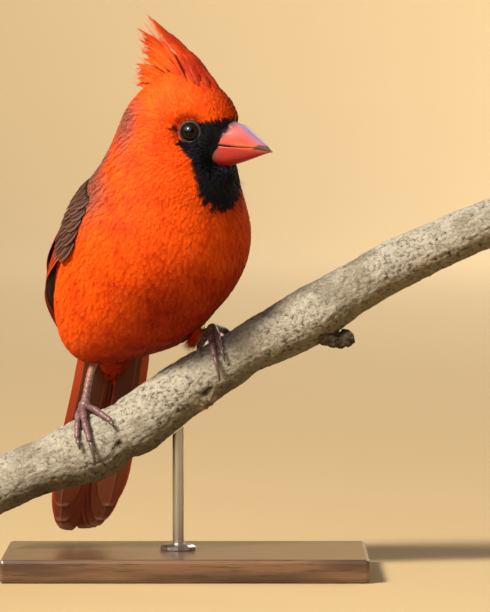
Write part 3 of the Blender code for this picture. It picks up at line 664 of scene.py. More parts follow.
def web_look(g, base, edge, reach_in, root_edge=0.0):
    """Wing and tail feathers: a dark web with a bright outer edge, a shaft and fine slanting barbs."""
    across, along, shade = g.parts("web")
    centred = across * 2.0 - 1.0
    fine = g.noise(g.place(), 700.0, 2.0)
    near_root = 1.0 - g.step(along, 0.45, 0.8)
    outer = 0.0 - centred + fine * 0.16 + near_root * root_edge
    outer = g.step(outer, 1.0 - reach_in, 1.12 - reach_in)
    inner = g.step(centred + fine * 0.1, 0.93, 1.08) * 0.6
    web = g.blend(shade * 0.7 + fine * 0.3, base, tuple(0.5 * c for c in base))
    # Painted shade: the web darkens towards its root, where it lies under other feathers and the body.
    web = g.blend(near_root * 0.75, web, tuple(0.22 * c for c in base))
    colour = g.blend(outer, web, edge)
    colour = g.blend(inner, colour, edge)
    tip = g.step(along + fine * 0.02, 0.985, 1.005)
    colour = g.blend(tip * 0.9, colour, TINTS["worn tip"])
    off_shaft = abs(centred - SHAFT_AT)
    near_shaft = 1.0 - g.step(off_shaft, 0.03, 0.09)
    colour = g.blend(near_shaft * 0.8, colour, TINTS["shaft"])
    slant = off_shaft * 7.0 - along * 60.0
    ripple = (slant * 6.283).sine() * 0.5 + 0.5
    # Painted shade in the grooves between the barbs.
    colour = g.blend(ripple * 0.3, colour, g.darkened(colour, TINTS["painted shade between barbs"]))
    height = ripple * 0.6 + near_shaft * 2.0 + fine * 0.3
    return g.finish(
        Base_Color=colour,
        Roughness=0.5 + fine * 0.15,
        Normal=g.bump(height, 0.35, 0.0002),
        Specular_IOR_Level=0.35,
    )


# The coat: contour feathers, each a fan of barbs along a shaft.

BARB_FACES = np.array([(0, 1, 3), (1, 2, 3), (2, 0, 3), (0, 2, 1)])
BARB_POINTS = 4
# The size of a feather's patch on the map that a bake of the coat uses.
PATCH = 0.003


def barbs(starts, ends, ways_out, widths, thickness=0.22):
    """Slender closed spikes with their flat side outward: points, triangles and rounded normals."""
    run = unit(ends - starts)
    side = unit(np.cross(ways_out, run))
    out = np.cross(run, side)
    half = 0.5 * widths[..., None] * side
    points = np.stack([starts + half, starts - half, starts - out * thickness, ends], axis=-2)
    spikes = points.reshape(-1, BARB_POINTS, 3)
    triangles = (np.arange(len(spikes))[:, None, None] * BARB_POINTS + BARB_FACES[None]).reshape(-1, 3)
    return spikes.reshape(-1, 3), triangles, out


def outline_width(share):
    """Half width of a body feather at a share of its length, as part of its widest."""
    return np.sqrt(np.clip(1.0 - ((share - 0.5) / 0.53) ** 2, 0.02, 1.0))


class Tract:
    """Feathers that grow alike: where each is rooted, how it lies, its size and its place on the coat's map.

    Feathers of the body follow the plumage's surface. Those with faces of their own, such as the crest's,
    stand free, and a bow curves them.
    """

    def __init__(self, roots, ways, lengths, widths, places, seed, face=None, bow=None):
        self.roots, self.ways = roots, ways
        self.lengths, self.widths = lengths, widths
        self.places = places
        self.face, self.bow = face, bow
        self.random = np.random.default_rng(seed)

    def shaft(self, shares):
        """Points along each feather's shaft."""
        points = self.roots[:, None] + self.ways[:, None] * self.lengths[:, None, None] * shares[..., None]
        if self.bow is None:
            return points
        return points + self.bow[:, None] * (4 * shares * (1 - shares))[..., None]

    def grown(self, name, pairs, low, high, width, marks=None, first=0.32, splay=1.0, stray=0.3):
        """The tract as one mesh; each feather has its barbs in pairs along the outer part of its shaft."""
        count, draw, free = len(self.roots), self.random, self.face is not None
        shares = np.linspace(first, 0.97, pairs)
        shares = np.repeat(shares, 2)[None] + draw.uniform(-0.02, 0.02, (count, 2 * pairs))
        hand = np.tile([1.0, -1.0], pairs)[None]
        widths = self.widths[:, None]
        end_share = shares + (1.02 - shares) * 0.7 + draw.uniform(-0.06, 0.05, shares.shape)
        across = hand * widths * outline_width(end_share) * splay * draw.uniform(0.75, 1.1, shares.shape)
        across += draw.normal(0.0, stray * 0.12, shares.shape) * widths
        out = (self.face if free else outward(self.roots))[:, None]
        side = unit(np.cross(out, self.ways[:, None]))
        starts = self.shaft(shares)
        tips = self.shaft(end_share) + side * across[..., None]
        rise_start = low + (high - low) * shares
        rise_end = low + (high - low) * end_share + draw.uniform(-0.06, 0.16, shares.shape)
        if free:
            out = np.broadcast_to(out, starts.shape)
            tips = tips + out * draw.uniform(-0.2, 0.25, shares.shape)[..., None]
        else:
            starts = settled(starts, rise_start - 0.12)
            tips = settled(tips, rise_end)
            out = outward(starts)
        thick = width * (0.75 + 0.5 * draw.random(shares.shape))
        points, triangles, face = barbs(starts, tips, out, thick)
        bulge = face + 0.13 * hand[..., None] * side
        bulge = unit(bulge + draw.normal(0.0, 0.06, bulge.shape))
        normals = np.repeat(bulge[:, :, None], BARB_POINTS, axis=2)
        normals[:, :, 2] = -face
        obj = many(name, points, triangles, normals.reshape(-1, 3))
        strand = np.stack([shares, shares, shares, np.minimum(end_share + 0.15, 1.0)], axis=-1)
        numbers(obj.data, "strand", strand.ravel())
        shade = draw.random((count, 1)) * 0.4 + draw.random(shares.shape) * 0.6
        numbers(obj.data, "shade", np.repeat(shade.ravel(), BARB_POINTS))
        if marks is None:
            marks = markings(self.roots + self.ways * self.lengths[:, None] * 0.55, outward(self.roots))
        each = 2 * pairs * BARB_POINTS
        numbers(obj.data, "marks", np.repeat(marks, each, axis=0))
        patch = np.stack([0.5 * across / widths * PATCH, end_share * PATCH - 0.5 * PATCH], axis=-1)
        patch = np.repeat(patch.reshape(-1, 2), BARB_POINTS, axis=0)
        patch[0::BARB_POINTS] *= 0.4
        bake_map(obj.data, np.repeat(self.places, each, axis=0) + patch)
        return painted(obj, shared("cardinal_plumage", plumage_look))


def spine(share):
    """A point of the torso's middle line, which ends square to the neck's cut."""
    end = HEAD.origin - NECK_WAY * (NECK_CUT + 0.3)
    knee = HEAD.origin - NECK_WAY * 58.0
    return (1 - share) ** 2 * RUMP + 2 * share * (1 - share) * knee + share**2 * end


def stations():
    """Middle, direction and lean of each ring of the skin, from the vent over the neck to the crown."""
    shares = np.linspace(0.0, 1.0, 40)
    centres = [spine(s) for s in shares]
    tangents = [unit(spine(s + 0.01) - spine(s - 0.01)) for s in shares]
    made = [(centres[0], tangents[0], math.radians(t)) for t in np.linspace(-84.0, -6.0, 12)]
    made += [(c, t, 0.0) for c, t in zip(centres[1:], tangents[1:])]
    made += [(HEAD.origin - NECK_WAY * below, NECK_WAY, 0.0) for below in np.linspace(35.0, 0.0, 26)]
    return made + [(HEAD.origin, NECK_WAY, math.radians(t)) for t in np.linspace(5.0, 86.0, 16)]


class Skin:
    """The bare skin under the coat, and places on it where feathers grow."""

    AROUND = 96

    def __init__(self, depth):
        angles = np.linspace(0.0, FULL_TURN, self.AROUND, endpoint=False)
        starts, ways = [], []
        self.rows = stations()
        for centre, tangent, lean in self.rows:
            side = unit(BODY.axes[1] - tangent * (BODY.axes[1] @ tangent))
            over = np.cross(tangent, side)
            radial = np.cos(angles)[:, None] * over + np.sin(angles)[:, None] * side
            ways.append(math.cos(lean) * radial + math.sin(lean) * tangent)
            starts.append(np.repeat(centre[None], self.AROUND, axis=0))
        starts, ways = np.array(starts), np.array(ways)
        self.rings = starts + reach(starts, ways, -depth)[..., None] * ways
        self.ends = [self.pole(self.rows[0], -1.0, depth), self.pole(self.rows[-1], 1.0, depth)]

    def pole(self, row, sign, depth):
        centre, tangent, _ = row
        way = sign * tangent[None]
        return centre + way[0] * reach(centre[None], way, -depth)[0]

    def candidates(self, count, seed, spacing):
        """Random places on the skin, more of them where feathers stand closer."""
        draw = np.random.default_rng(seed)
        rows = len(self.rings) - 1
        corner, beside = self.rings[:-1], np.roll(self.rings[:-1], -1, axis=1)
        area = np.linalg.norm(np.cross(beside - corner, self.rings[1:] - corner), axis=-1)
        weight = (area / spacing(corner.reshape(-1, 3)).reshape(area.shape) ** 2).ravel()
        cell = draw.choice(len(weight), count, p=weight / weight.sum())
        row, column = cell // self.AROUND, cell % self.AROUND
        up, on = draw.random(count)[:, None], draw.random(count)[:, None]
        following = (column + 1) % self.AROUND
        low = self.rings[row, column] * (1 - on) + self.rings[row, following] * on
        high = self.rings[row + 1, column] * (1 - on) + self.rings[row + 1, following] * on
        place = np.concatenate([(column[:, None] + on) / self.AROUND, (row[:, None] + up) / rows], axis=1)
        return low * (1 - up) + high * up, 0.03 + 0.94 * place


def spread_out(points, spacing, cell=2.6):
    """Which of the points to keep so that no two kept ones are closer than their spacing."""
    kept, grid = [], {}
    cells = np.floor(points / cell).astype(int)
    around = [(x, y, z) for x in (-1, 0, 1) for y in (-1, 0, 1) for z in (-1, 0, 1)]
    rows, keys, room = points.tolist(), cells.tolist(), (spacing**2).tolist()
    for i, (x, y, z) in enumerate(rows):
        kx, ky, kz = keys[i]
        clear = True
        for dx, dy, dz in around:
            for j in grid.get((kx + dx, ky + dy, kz + dz), ()):
                qx, qy, qz = rows[j]
                if (qx - x) ** 2 + (qy - y) ** 2 + (qz - z) ** 2 < room[i]:
                    clear = False
                    break
            if not clear:
                break
        if clear:
            kept.append(i)
            grid.setdefault((kx, ky, kz), []).append(i)
    return np.array(kept)


BILL_ROOT = (17.0, 0.0, -3.0)


def from_bill(points):
    return np.linalg.norm(HEAD.local(points) - np.array(BILL_ROOT), axis=-1)


def from_eye(points):
    """How far points are from the nearer eye's middle."""
    head = HEAD.local(points)
    head[..., 1] = np.abs(head[..., 1])
    return np.linalg.norm(head - np.array(EYE_PLACE), axis=-1)


def feather_length(points):
    """How long the contour feathers are at points of the body."""
    look = chosen()
    bill, eye = from_bill(points), from_eye(points)
    length = 1.9 + 0.19 * np.maximum(bill - 5.0, 0.0)
    length = np.minimum(length, 1.7 + 0.42 * np.maximum(eye - 4.6, 0.0))
    along = BODY.local(points)[..., 0]
    full = look.feather_length / MM
    longest = full + (full * 0.22) * smooth(10.0, -38.0, along)
    return np.clip(length, 1.7, longest)


def feather_spacing(points):
    return 0.34 + 0.135 * feather_length(points)


def lie(points):
    """The way that the feathers lie: back from the bill, down the neck and along the body."""
    head = HEAD.local(points)
    out = outward(points)
    away = unit(points - HEAD.point(BILL_ROOT))
    bill = from_bill(points)
    on_head = 1.0 - smooth(14.0, 40.0, bill)
    crown = smooth(4.0, 12.0, head[..., 2]) * (1.0 - smooth(30.0, 40.0, bill))
    body_share = smooth(46.0, 78.0, bill)
    way = on_head[..., None] * away
    way = way + (1.0 - body_share - on_head * (1.0 - body_share))[..., None] * -NECK_WAY
    way = way + body_share[..., None] * (-BODY.axes[0] - 0.12 * ROOM.axes[2])
    way = way + crown[..., None] * HEAD.way((-0.5, 0.0, 0.9))
    way = way - out * dot(way, out)
    return unit(way)


# The bill, from inside the face to its tip, as forward and up places on the head.
CULMEN = [(12.0, 8.6), (21.1, 5.7), (26.2, 4.6), (30.1, 2.3), (33.9, -0.1), (36.3, -1.7), (38.3, -3.7)]
MOUTH_LINE = [(12.0, -3.7), (19.6, -3.7), (26.0, -3.3), (32.0, -2.9), (38.3, -3.6)]
GONYS = [(12.0, -13.0), (18.4, -12.2), (24.7, -10.0), (29.7, -7.7), (34.6, -5.2), (37.3, -4.0), (38.3, -3.8)]
BILL_HALF_WIDTH = [(12.0, 7.6), (19.0, 7.0), (25.0, 5.6), (31.0, 3.4), (36.0, 1.3), (38.3, 0.35)]


def inside_bill(points, margin):
    head = HEAD.local(points)
    forward, aside, up = head[..., 0], np.abs(head[..., 1]), head[..., 2]
    ridge, keel = profile(CULMEN, forward) + margin, profile(GONYS, forward) - margin
    wide = profile(BILL_HALF_WIDTH, forward) + margin
    middle, half = (ridge + keel) / 2, (ridge - keel) / 2
    return (forward > 12.0) & ((aside / wide) ** 2 + ((up - middle) / half) ** 2 < 1.0)


# The folded wing's bed: distance along the body, upper edge and lower edge round it.
WING_BED = [
    (25.0, 68.0, 82.0),
    (20.0, 46.0, 89.0),
    (10.0, 24.0, 95.0),
    (-2.0, 13.0, 97.0),
    (-14.0, 9.0, 93.0),
    (-26.0, 8.0, 83.0),
    (-38.0, 9.0, 66.0),
    (-48.0, 12.0, 48.0),
    (-55.0, 17.0, 36.0),
]


def under_wing(points, margin_top, margin_low):
    """Whether points of the body lie under a folded wing, by some margin inside its edges."""
    body = BODY.local(points)
    angle = np.degrees(np.arctan2(np.abs(body[:, 1]), body[:, 2]))
    bed = np.array(WING_BED)[::-1]
    top = np.interp(body[:, 0], bed[:, 0], bed[:, 1])
    low = np.interp(body[:, 0], bed[:, 0], bed[:, 2])
    inside = (angle > top + margin_top) & (angle < low - margin_low)
    return inside & (body[:, 0] < 23.0) & (body[:, 0] > -52.0)


def wing_radius(along, angle, side):
    """How far the folded wing's bed lies from the body's axis."""
    along, turn = np.broadcast_arrays(np.asarray(along, float), np.radians(angle))
    starts = BODY.point(stacked(along, 0.0, 0.0))
    ways = BODY.way(stacked(0.0, side * np.sin(turn), np.cos(turn)))
    bed = np.where(along > -44.0, reach(starts, ways), 0.0)
    share = np.clip((along + 4.0) / 66.5, -0.99, 0.99)
    guide = np.sqrt(1.0 - share**2) / np.hypot(np.sin(turn) / 33.0, np.cos(turn) / 29.0)
    return np.maximum(bed, np.where(along < 0, guide, 0.0))


def on_wing(along, angle, height, side):
    """Points on the folded wing; angle runs from the back's middle line down the flank."""
    turn = np.radians(angle)
    radius = wing_radius(along, angle, side) + height
    return BODY.point(stacked(along + 0 * radius, side * radius * np.sin(turn), radius * np.cos(turn)))


def blade(share, pointed=0.55):
    """How wide a flight feather is at a share of its length, as part of its full width."""
    share = np.asarray(share, float)
    root = 0.45 + 0.55 * np.minimum(share / 0.3, 1.0)
    tip = np.sqrt(np.clip(1.0 - ((share - pointed) / (1.005 - pointed)) ** 2, 0.0, 1.0))
    return root * np.maximum(np.where(share < pointed, 1.0, tip), 0.03)


# Where a feather's shaft runs, from -1 at its web's one edge to 1 at the other.
SHAFT_AT = -0.18


def web_sheet(path, half_widths, normals, outer, shade, camber=0.12, columns=9, thickness=0.26):
    """One feather's web as a closed thin sheet with a raised shaft: points, triangles and web marks."""
    path = np.asarray(path, float)
    count = len(path)
    tangents = unit(np.gradient(path, axis=0))
    normals = unit(normals - tangents * dot(tangents, normals))
    side = np.cross(tangents, normals) * outer
    marks = np.append(np.linspace(-1.0, 1.0, columns - 2), [SHAFT_AT - 0.05, SHAFT_AT + 0.05])
    marks = np.unique(np.round(np.sort(marks), 4))
    columns = len(marks)
    wide = np.asarray(half_widths, float)[:, None, None]
    run = np.append(0.0, np.cumsum(np.linalg.norm(np.diff(path, axis=0), axis=1)))
    along = run / run[-1]
    from_shaft = marks - SHAFT_AT
    at_shaft = np.exp(-((from_shaft / 0.07) ** 2))[None, :, None] * (1.0 - 0.75 * along)[:, None, None]
    sunk = -camber * wide * from_shaft[None, :, None] ** 2
    thick = thickness * (0.35 + 0.65 * (1.0 - marks[None, :, None] ** 2))
    middle = path[:, None] + side[:, None] * wide * marks[None, :, None] + normals[:, None] * sunk
    top = middle + normals[:, None] * (thick / 2 + 0.22 * at_shaft)
    under = middle - normals[:, None] * (thick / 2 + 0.16 * at_shaft)
    points = np.concatenate([top.reshape(-1, 3), under.reshape(-1, 3)])
    size = count * columns
    cell = np.arange(size).reshape(count, columns)
    near, near_next, far, far_next = cell[:-1, :-1], cell[:-1, 1:], cell[1:, :-1], cell[1:, 1:]
    halves = ((near, far, near_next), (near_next, far, far_next))
    upper = np.concatenate([np.stack(half, axis=-1).reshape(-1, 3) for half in halves])
    lower = upper[:, ::-1] + size
    rim = np.concatenate([cell[0, :], cell[1:, -1], cell[-1, -2::-1], cell[-2:0:-1, 0]])
    following = np.roll(rim, -1)
    rims = [(rim, following, following + size), (rim, following + size, rim + size)]
    triangles = np.concatenate([upper, lower] + [np.stack(half, axis=-1) for half in rims])
    volume = np.sum(points[triangles[:, 0]] * np.cross(points[triangles[:, 1]], points[triangles[:, 2]]))
    if volume < 0:
        triangles = triangles[:, ::-1]
    across = np.broadcast_to((marks[None] + 1) / 2, (count, columns)).ravel()
    down = np.broadcast_to(along[:, None], (count, columns)).ravel()
    web = stacked(across, down, shade, 1.0)
    return points, triangles, np.concatenate([web, web])


def sheaf(name, sheets, material):
    """Several webs as one mesh."""
    base, moved = 0, []
    for points, triangles, _ in sheets:
        moved.append(triangles + base)
        base += len(points)
    obj = many(name, np.concatenate([sheet[0] for sheet in sheets]), np.concatenate(moved))
    numbers(obj.data, "web", np.concatenate([sheet[2] for sheet in sheets]))
    obj.data.set_sharp_from_angle(angle=math.radians(60))
    return painted(obj, material)


def colour_property(name, description, default):
    return bpy.props.FloatVectorProperty(
        name=name, description=description, default=default, size=3, subtype="COLOR", min=0.0, max=1.0
    )


class CardinalSettings(bpy.types.PropertyGroup):
    """Sizes and colours of the cardinal that a user would change."""

    feather_length: bpy.props.FloatProperty(
        name="Feather length", description="Length of the breast feathers", default=8.6 * MM, unit="LENGTH"
    )
    coat_depth: bpy.props.FloatProperty(
        name="Coat depth",
        description="Depth of the feather coat over the skin",
        default=1.0 * MM,
        unit="LENGTH",
    )
    bark_relief: bpy.props.FloatProperty(
        name="Bark relief", description="Height of the bark's ridges", default=0.55 * MM, unit="LENGTH"
    )
    orange_red: colour_property("Orange red", "Lit plumage of the breast and head", (0.90, 0.100, 0.002))
    deep_red: colour_property("Deep red", "Darker plumage between the feathers", (0.50, 0.016, 0.002))
    crimson: colour_property("Crimson", "Brow, crest front and feather bases", (0.25, 0.010, 0.005))
    mask: colour_property("Mask", "The black round the bill and eye", (0.004, 0.004, 0.006))
    mantle: colour_property("Mantle", "Grey-brown edges of the back feathers", (0.22, 0.095, 0.07))
    web: colour_property("Flight feathers", "Dark web of the wing feathers", (0.030, 0.011, 0.008))
    edge: colour_property("Feather edges", "Red edges of the flight feathers", (0.62, 0.055, 0.010))
    bill: colour_property("Bill", "Coral of the bill", (0.50, 0.060, 0.042))
    bark: colour_property("Bark", "Pale face of the bark", (0.44, 0.41, 0.345))


def coat_tract(points, places, seed):
    """Feathers rooted at points of the body, each with a small turn and a length of its own."""
    draw = np.random.default_rng(seed)
    ways = lie(points)
    sideways = np.cross(outward(points), ways)
    ways = unit(ways + sideways * draw.normal(0.0, 0.08, (len(points), 1)))
    lengths = feather_length(points) * draw.uniform(0.85, 1.15, len(points))
    return Tract(points, ways, lengths, 0.20 * lengths + 0.35, places, seed)


ROOTS_TRIED = 90000
# Each coat piece: its name, how many pairs of barbs a feather has, and how wide a barb is.
COAT_REGIONS = (
    ("coat_face", 7, 0.26),
    ("coat_crown", 11, 0.27),
    ("coat_neck", 13, 0.29),
    ("coat_breast", 20, 0.26),
    ("coat_belly", 19, 0.28),
    ("coat_back", 15, 0.32),
)


FACE, CROWN, NECK, BREAST, BELLY, BACK = range(len(COAT_REGIONS))


def coat_region(points):
    """Which coat piece each root belongs to."""
    bill = from_bill(points)
    body = BODY.local(points)
    head = HEAD.local(points)
    region = np.full(len(points), BREAST)
    region[body[:, 0] < 0.0] = BELLY
    region[(body[:, 2] > 4.0) & (bill > 40.0)] = BACK
    region[bill < 44.0] = NECK
    region[bill < 30.0] = CROWN
    region[(bill < 20.0) & (head[:, 2] < 12.0)] = FACE
    return region


class CARDINAL_OT_skin(bpy.types.Operator):
    """Add the skin under the coat, from the vent to the crown"""

    bl_idname = "cardinal.skin"
    bl_label = "Skin"

    def execute(self, context):
        depth = chosen().coat_depth / MM
        skin = Skin(depth)
        near_eye = 1.0 - smooth(5.5, 9.0, from_eye(skin.rings))
        near_bill = 1.0 - smooth(13.0, 19.0, from_bill(skin.rings))
        rings = settled(skin.rings, -depth * (0.4 + 0.6 * np.maximum(near_eye, near_bill)))
        obj, _, _ = loft(rings, *skin.ends)
        places = vertices_of(obj) / MM
        numbers(obj.data, "marks", markings(places, outward(places)))
        numbers(obj.data, "strand", np.full(len(places), 0.45))
        numbers(obj.data, "shade", np.full(len(places), 0.4))
        painted(obj, shared("cardinal_plumage", plumage_look))
        dressed(obj, "plumage_skin", ("head", "neck", "torso"))
        return {"FINISHED"}


class CARDINAL_OT_coat(bpy.types.Operator):
    """Add the contour feathers of the head, neck and body"""

    bl_idname = "cardinal.coat"
    bl_label = "Body feathers"

    def execute(self, context):
        depth = chosen().coat_depth / MM
        skin = Skin(depth)
        points, places = skin.candidates(ROOTS_TRIED, ROOT_SEED, feather_spacing)
        clear = (from_eye(points) > 4.9) & ~inside_bill(points, 0.2) & ~under_wing(points, 4.0, 9.0)
        points, places = points[clear], places[clear]
        kept = spread_out(points, feather_spacing(points))
        points, places = points[kept], places[kept]
        region = coat_region(points)
        for number, (name, pairs, width) in enumerate(COAT_REGIONS):
            mine = region == number
            tract = coat_tract(points[mine], places[mine], TRACT_SEED + number)
            dressed(tract.grown(name, pairs, -depth, 0.15, width), name)
        return {"FINISHED"}


# Crest feathers on the head's midline: how far forward each is rooted on the crown, where its tip stands,
# forward and up, and half its width.
CREST = [
    (19.0, 12.8, 17.4, 2.2),
    (17.0, 7.2, 22.6, 2.6),
    (13.5, -0.5, 29.4, 2.8),
    (10.0, -9.5, 34.9, 2.8),
    (6.0, -20.4, 40.5, 2.0),
    (2.5, -23.6, 35.0, 1.9),
    (0.0, -22.6, 31.0, 2.6),
    (-3.0, -21.2, 27.0, 2.8),
    (-6.0, -22.8, 21.6, 2.8),
    (-8.5, -21.8, 17.8, 3.0),
    (-11.0, -21.2, 13.4, 3.0),
]
CREST_COUNT = 190
# Feathers that stand at each row of the list: how far aside of the midline, and how much shorter.
CREST_MIDDLE = ((0.0, 0.0), (0.22, 0.03), (-0.22, 0.05))


def along_crest(place):
    """Root, tip forward, tip up and half width of crest feathers at places in the list."""
    return [np.interp(place, np.arange(len(CREST)), column) for column in zip(*CREST)]


class CARDINAL_OT_crest(bpy.types.Operator):
    """Add the raised crest, feather by feather"""

    bl_idname = "cardinal.crest"
    bl_label = "Crest"

    def execute(self, context):
        draw = np.random.default_rng(CREST_SEED)
        count, each = CREST_COUNT, len(CREST_MIDDLE)
        middle = each * len(CREST)
        offsets, shorter = zip(*CREST_MIDDLE)
        place = draw.random(count) * (len(CREST) - 1)
        place[:middle] = np.repeat(np.arange(len(CREST)), each)
        # The tallest spike stands clear of the feathers behind it.
        place = np.where((place > 4.0) & (place < 5.0), np.round(place), place)
        aside = np.clip(draw.normal(0.0, 0.5, count), -1.0, 1.0)
        aside[:middle] = np.tile(offsets, len(CREST))
        forward, tip_forward, tip_up, wide = along_crest(place)
        start = HEAD.point(stacked(forward - 1.5 * np.abs(aside), 5.5 * aside, 0.0))
        ways = np.broadcast_to(HEAD.axes[2], start.shape)
        start = start + ways * reach(start, ways, -2.0)[:, None]
        end = HEAD.point(stacked(tip_forward, 2.2 * aside, tip_up))
        shorten = np.abs(aside) * 0.30 + draw.random(count) * 0.10
        shorten[:middle] = np.tile(shorter, len(CREST))
        end = end + (start - end) * shorten[:, None]
        along = end - start
        lengths = np.linalg.norm(along, axis=1)
        places = stacked(0.1 + 0.8 * (forward + 12.0) / 32.0, 0.5 + 0.4 * aside)
        face = unit(HEAD.way(stacked(0.75, 1.6 * aside, 0.6)))
        bow = 0.07 * lengths[:, None] * unit(HEAD.way(stacked(0.62, 0.9 * aside, 0.78)))
        tract = Tract(start, unit(along), lengths, wide * 0.62, places, CREST_BARB_SEED, face, bow)
        marks = stacked(0.0, 0.0, smooth(-4.0, 12.0, forward) * 0.95, 0.0)
        obj = tract.grown("crest", 22, 0.0, 0.0, 0.36, marks, first=0.12, splay=0.9, stray=0.7)
        dressed(obj, "crest_feathers")
        return {"FINISHED"}


# Where the black face feathers end on the bill: height on the head and how far forward.
BILL_EDGE = [(-13.0, 15.6), (-6.6, 16.3), (-3.2, 17.6), (-1.0, 19.6), (0.7, 20.8), (3.0, 21.3), (6.5, 20.6)]


def spikes(name, starts, ends, ways_out, widths, marks):
    """Single stiff feathers as one mesh."""
    points, triangles, face = barbs(starts, ends, ways_out, widths, 0.12)
    normals = np.repeat(face[:, None], BARB_POINTS, axis=1)
    normals[:, 2] = -face
    obj = many(name, points, triangles, normals.reshape(-1, 3))
    numbers(obj.data, "strand", np.tile([0.5, 0.5, 0.4, 1.0], len(starts)))
    numbers(obj.data, "shade", np.full(len(points), 0.5))
    numbers(obj.data, "marks", np.repeat(marks, BARB_POINTS, axis=0))
    bake_map(obj.data, stacked(np.repeat(np.linspace(0.05, 0.95, len(starts)), BARB_POINTS), 0.5))
    return painted(obj, shared("cardinal_plumage", plumage_look))


def wisps(starts, ends, out, width, marks):
    """One kind of single feathers, all as wide and marked alike."""
    count = len(starts)
    return starts, ends, np.broadcast_to(out, starts.shape), np.full(count, width), np.tile(marks, (count, 1))


class CARDINAL_OT_bristles(bpy.types.Operator):
    """Add the bristles over the bill's base, the loose hairs of the bib and crest, and the thigh tuft"""

    bl_idname = "cardinal.bristles"
    bl_label = "Bristles and wisps"

    def execute(self, context):
        draw = np.random.default_rng(WISP_SEED)
        parts = [self.bill_base(draw), self.bib_hairs(draw), self.crest_hairs(draw), self.thigh_tuft(draw)]
        obj = spikes("bristles", *(np.concatenate(group) for group in zip(*parts)))
        dressed(obj, "face_bristles")
        return {"FINISHED"}

    def bill_base(self, draw):
        """Short black feathers that lie forward over the base of the upper bill."""
        count = 1500
        side = np.where(draw.random(count) < 0.5, 1.0, -1.0)
        angle = draw.uniform(0.0, 0.5 * math.pi, count)
        mouth = profile(MOUTH_LINE, 19.0)
        up = mouth + np.sin(angle) * (profile(CULMEN, 19.0) + 0.4 - mouth)
        tip_forward = profile(BILL_EDGE, up) - draw.random(count) ** 1.3 * 4.5
        tip_forward += draw.normal(0.0, 0.25, count)
        length = draw.uniform(2.2, 3.6, count)
        out = stacked(0.0, np.cos(angle) * side, np.sin(angle))

        def on_bill(forward, height):
            low = profile(MOUTH_LINE, forward)
            rise = low + np.sin(angle) ** 0.9 * (profile(CULMEN, forward) - low)
            aside = np.cos(angle) ** 0.86 * profile(BILL_HALF_WIDTH, forward)
            return HEAD.point(stacked(forward, aside * side, rise) + out * height[:, None])

        starts = on_bill(tip_forward - length, np.full(count, 0.1))
        ends = on_bill(tip_forward, 0.25 + draw.random(count) * 0.45)
        ends = ends + HEAD.way((0.0, 0.0, -1.0)) * (draw.random((count, 1)) * 0.5)
        return wisps(starts, ends, HEAD.way(out), 0.42, [1.0, 0.0, 0.0, 0.0])

    def bib_hairs(self, draw):
        """Fine dark hairs that stand off the chin and bib."""
        count = 120
        up = draw.uniform(-24.0, -12.5, count)
        aside = draw.uniform(-3.5, 5.0, count)
        inside = HEAD.point(stacked(8.0, aside, up))
        way = unit(HEAD.way(stacked(1.0, 0.12 * aside, -0.15)))
        starts = inside + way * reach(inside, way, -0.6)[:, None]
        lean = unit(way + HEAD.way((0.0, 0.0, -0.9)) + draw.normal(0.0, 0.22, (count, 3)))
        ends = starts + lean * draw.uniform(3.0, 7.5, count)[:, None]
        return wisps(starts, ends, way, 0.13, [1.0, 0.0, 0.0, 0.0])

    def crest_hairs(self, draw):
        """Loose red hairs behind the crest."""
        count = 110
        root, tip_forward, tip_up, _ = along_crest(draw.uniform(3.0, len(CREST) - 1.0, count))
        aside = draw.normal(0.0, 1.0, count)
        starts = HEAD.point(stacked(0.45 * root + 0.55 * tip_forward, aside, 0.35 * 9.0 + 0.65 * tip_up))
        back = draw.uniform(-1.0, 2.4, count)
        ends = HEAD.point(stacked(tip_forward - back, aside * 1.4, tip_up + 0.5))
        ends = ends + draw.normal(0.0, 0.8, (count, 3))
        return wisps(starts, ends, HEAD.way((0.3, -0.9, 0.3)), 0.2, [0.0, 0.15, 0.5, 0.0])

    def thigh_tuft(self, draw):
        """Red down at the top of the left leg."""
        count = 240
        starts = np.array([5.0, 9.0, 93.4]) + draw.normal(0.0, (1.6, 3.2, 0.9), (count, 3))
        ends = np.array([0.6, 9.4, 86.2]) + draw.normal(0.0, (1.7, 3.2, 1.1), (count, 3))
        return wisps(starts, ends, (0.0, -1.0, 0.0), 0.2, [0.0, 0.0, 0.4, 0.0])


# The folded wing's feathers. A place on it is a distance along the body and an angle round it.
PRIMARIES = 8
PRIMARY_TIPS = [(-54.0, 33.0), (-60.0, 29.0), (-63.0, 25.0), (-59.0, 21.0), (-52.0, 17.5)]
PRIMARY_FORM = {"half_width": 3.3, "tilt": 20.0, "bow": 7.0, "rows": 22, "pointed": 0.7, "lift": 1.9}
# Secondaries and tertials: how many, the first and last one's root and tip, how high the first one's root
# and tip lie, how much higher each next tip lies, and their form.
INNER_FLIGHT = (
    (8, (6.0, 66.0, -40.0, 42.0), (4.0, 32.0, -46.4, 17.2), (0.8, 1.6), 0.14,
     {"half_width": 4.2, "tilt": 19.0, "bow": 4.0, "rows": 18, "pointed": 0.72, "lift": 1.9}),
    (4, (-2.0, 29.0, -34.0, 24.0), (-2.0, 14.0, -18.0, 13.5), (1.1, 2.5), 0.35,
     {"half_width": 4.6, "tilt": 17.0, "bow": 2.0, "rows": 15, "pointed": 0.6, "lift": 1.4}),
)
# Tiers of coverts: how many, the first and last one's root, angle and tip, heights and half width.
COVERT_TIERS = (
    (12, (12.0, 92.0, -1.0), (9.0, 33.0, -6.0), (0.5, 2.0), 3.4),
    (11, (17.0, 90.0, 6.0), (14.0, 33.0, 2.0), (0.5, 1.9), 3.3),
    (9, (21.0, 88.0, 12.0), (18.0, 36.0, 8.0), (0.5, 1.9), 3.2),
    (7, (24.5, 85.0, 16.5), (22.0, 44.0, 13.0), (0.4, 1.7), 3.1),
    (5, (27.5, 81.0, 20.5), (26.0, 56.0, 18.0), (0.3, 1.4), 3.0),
)


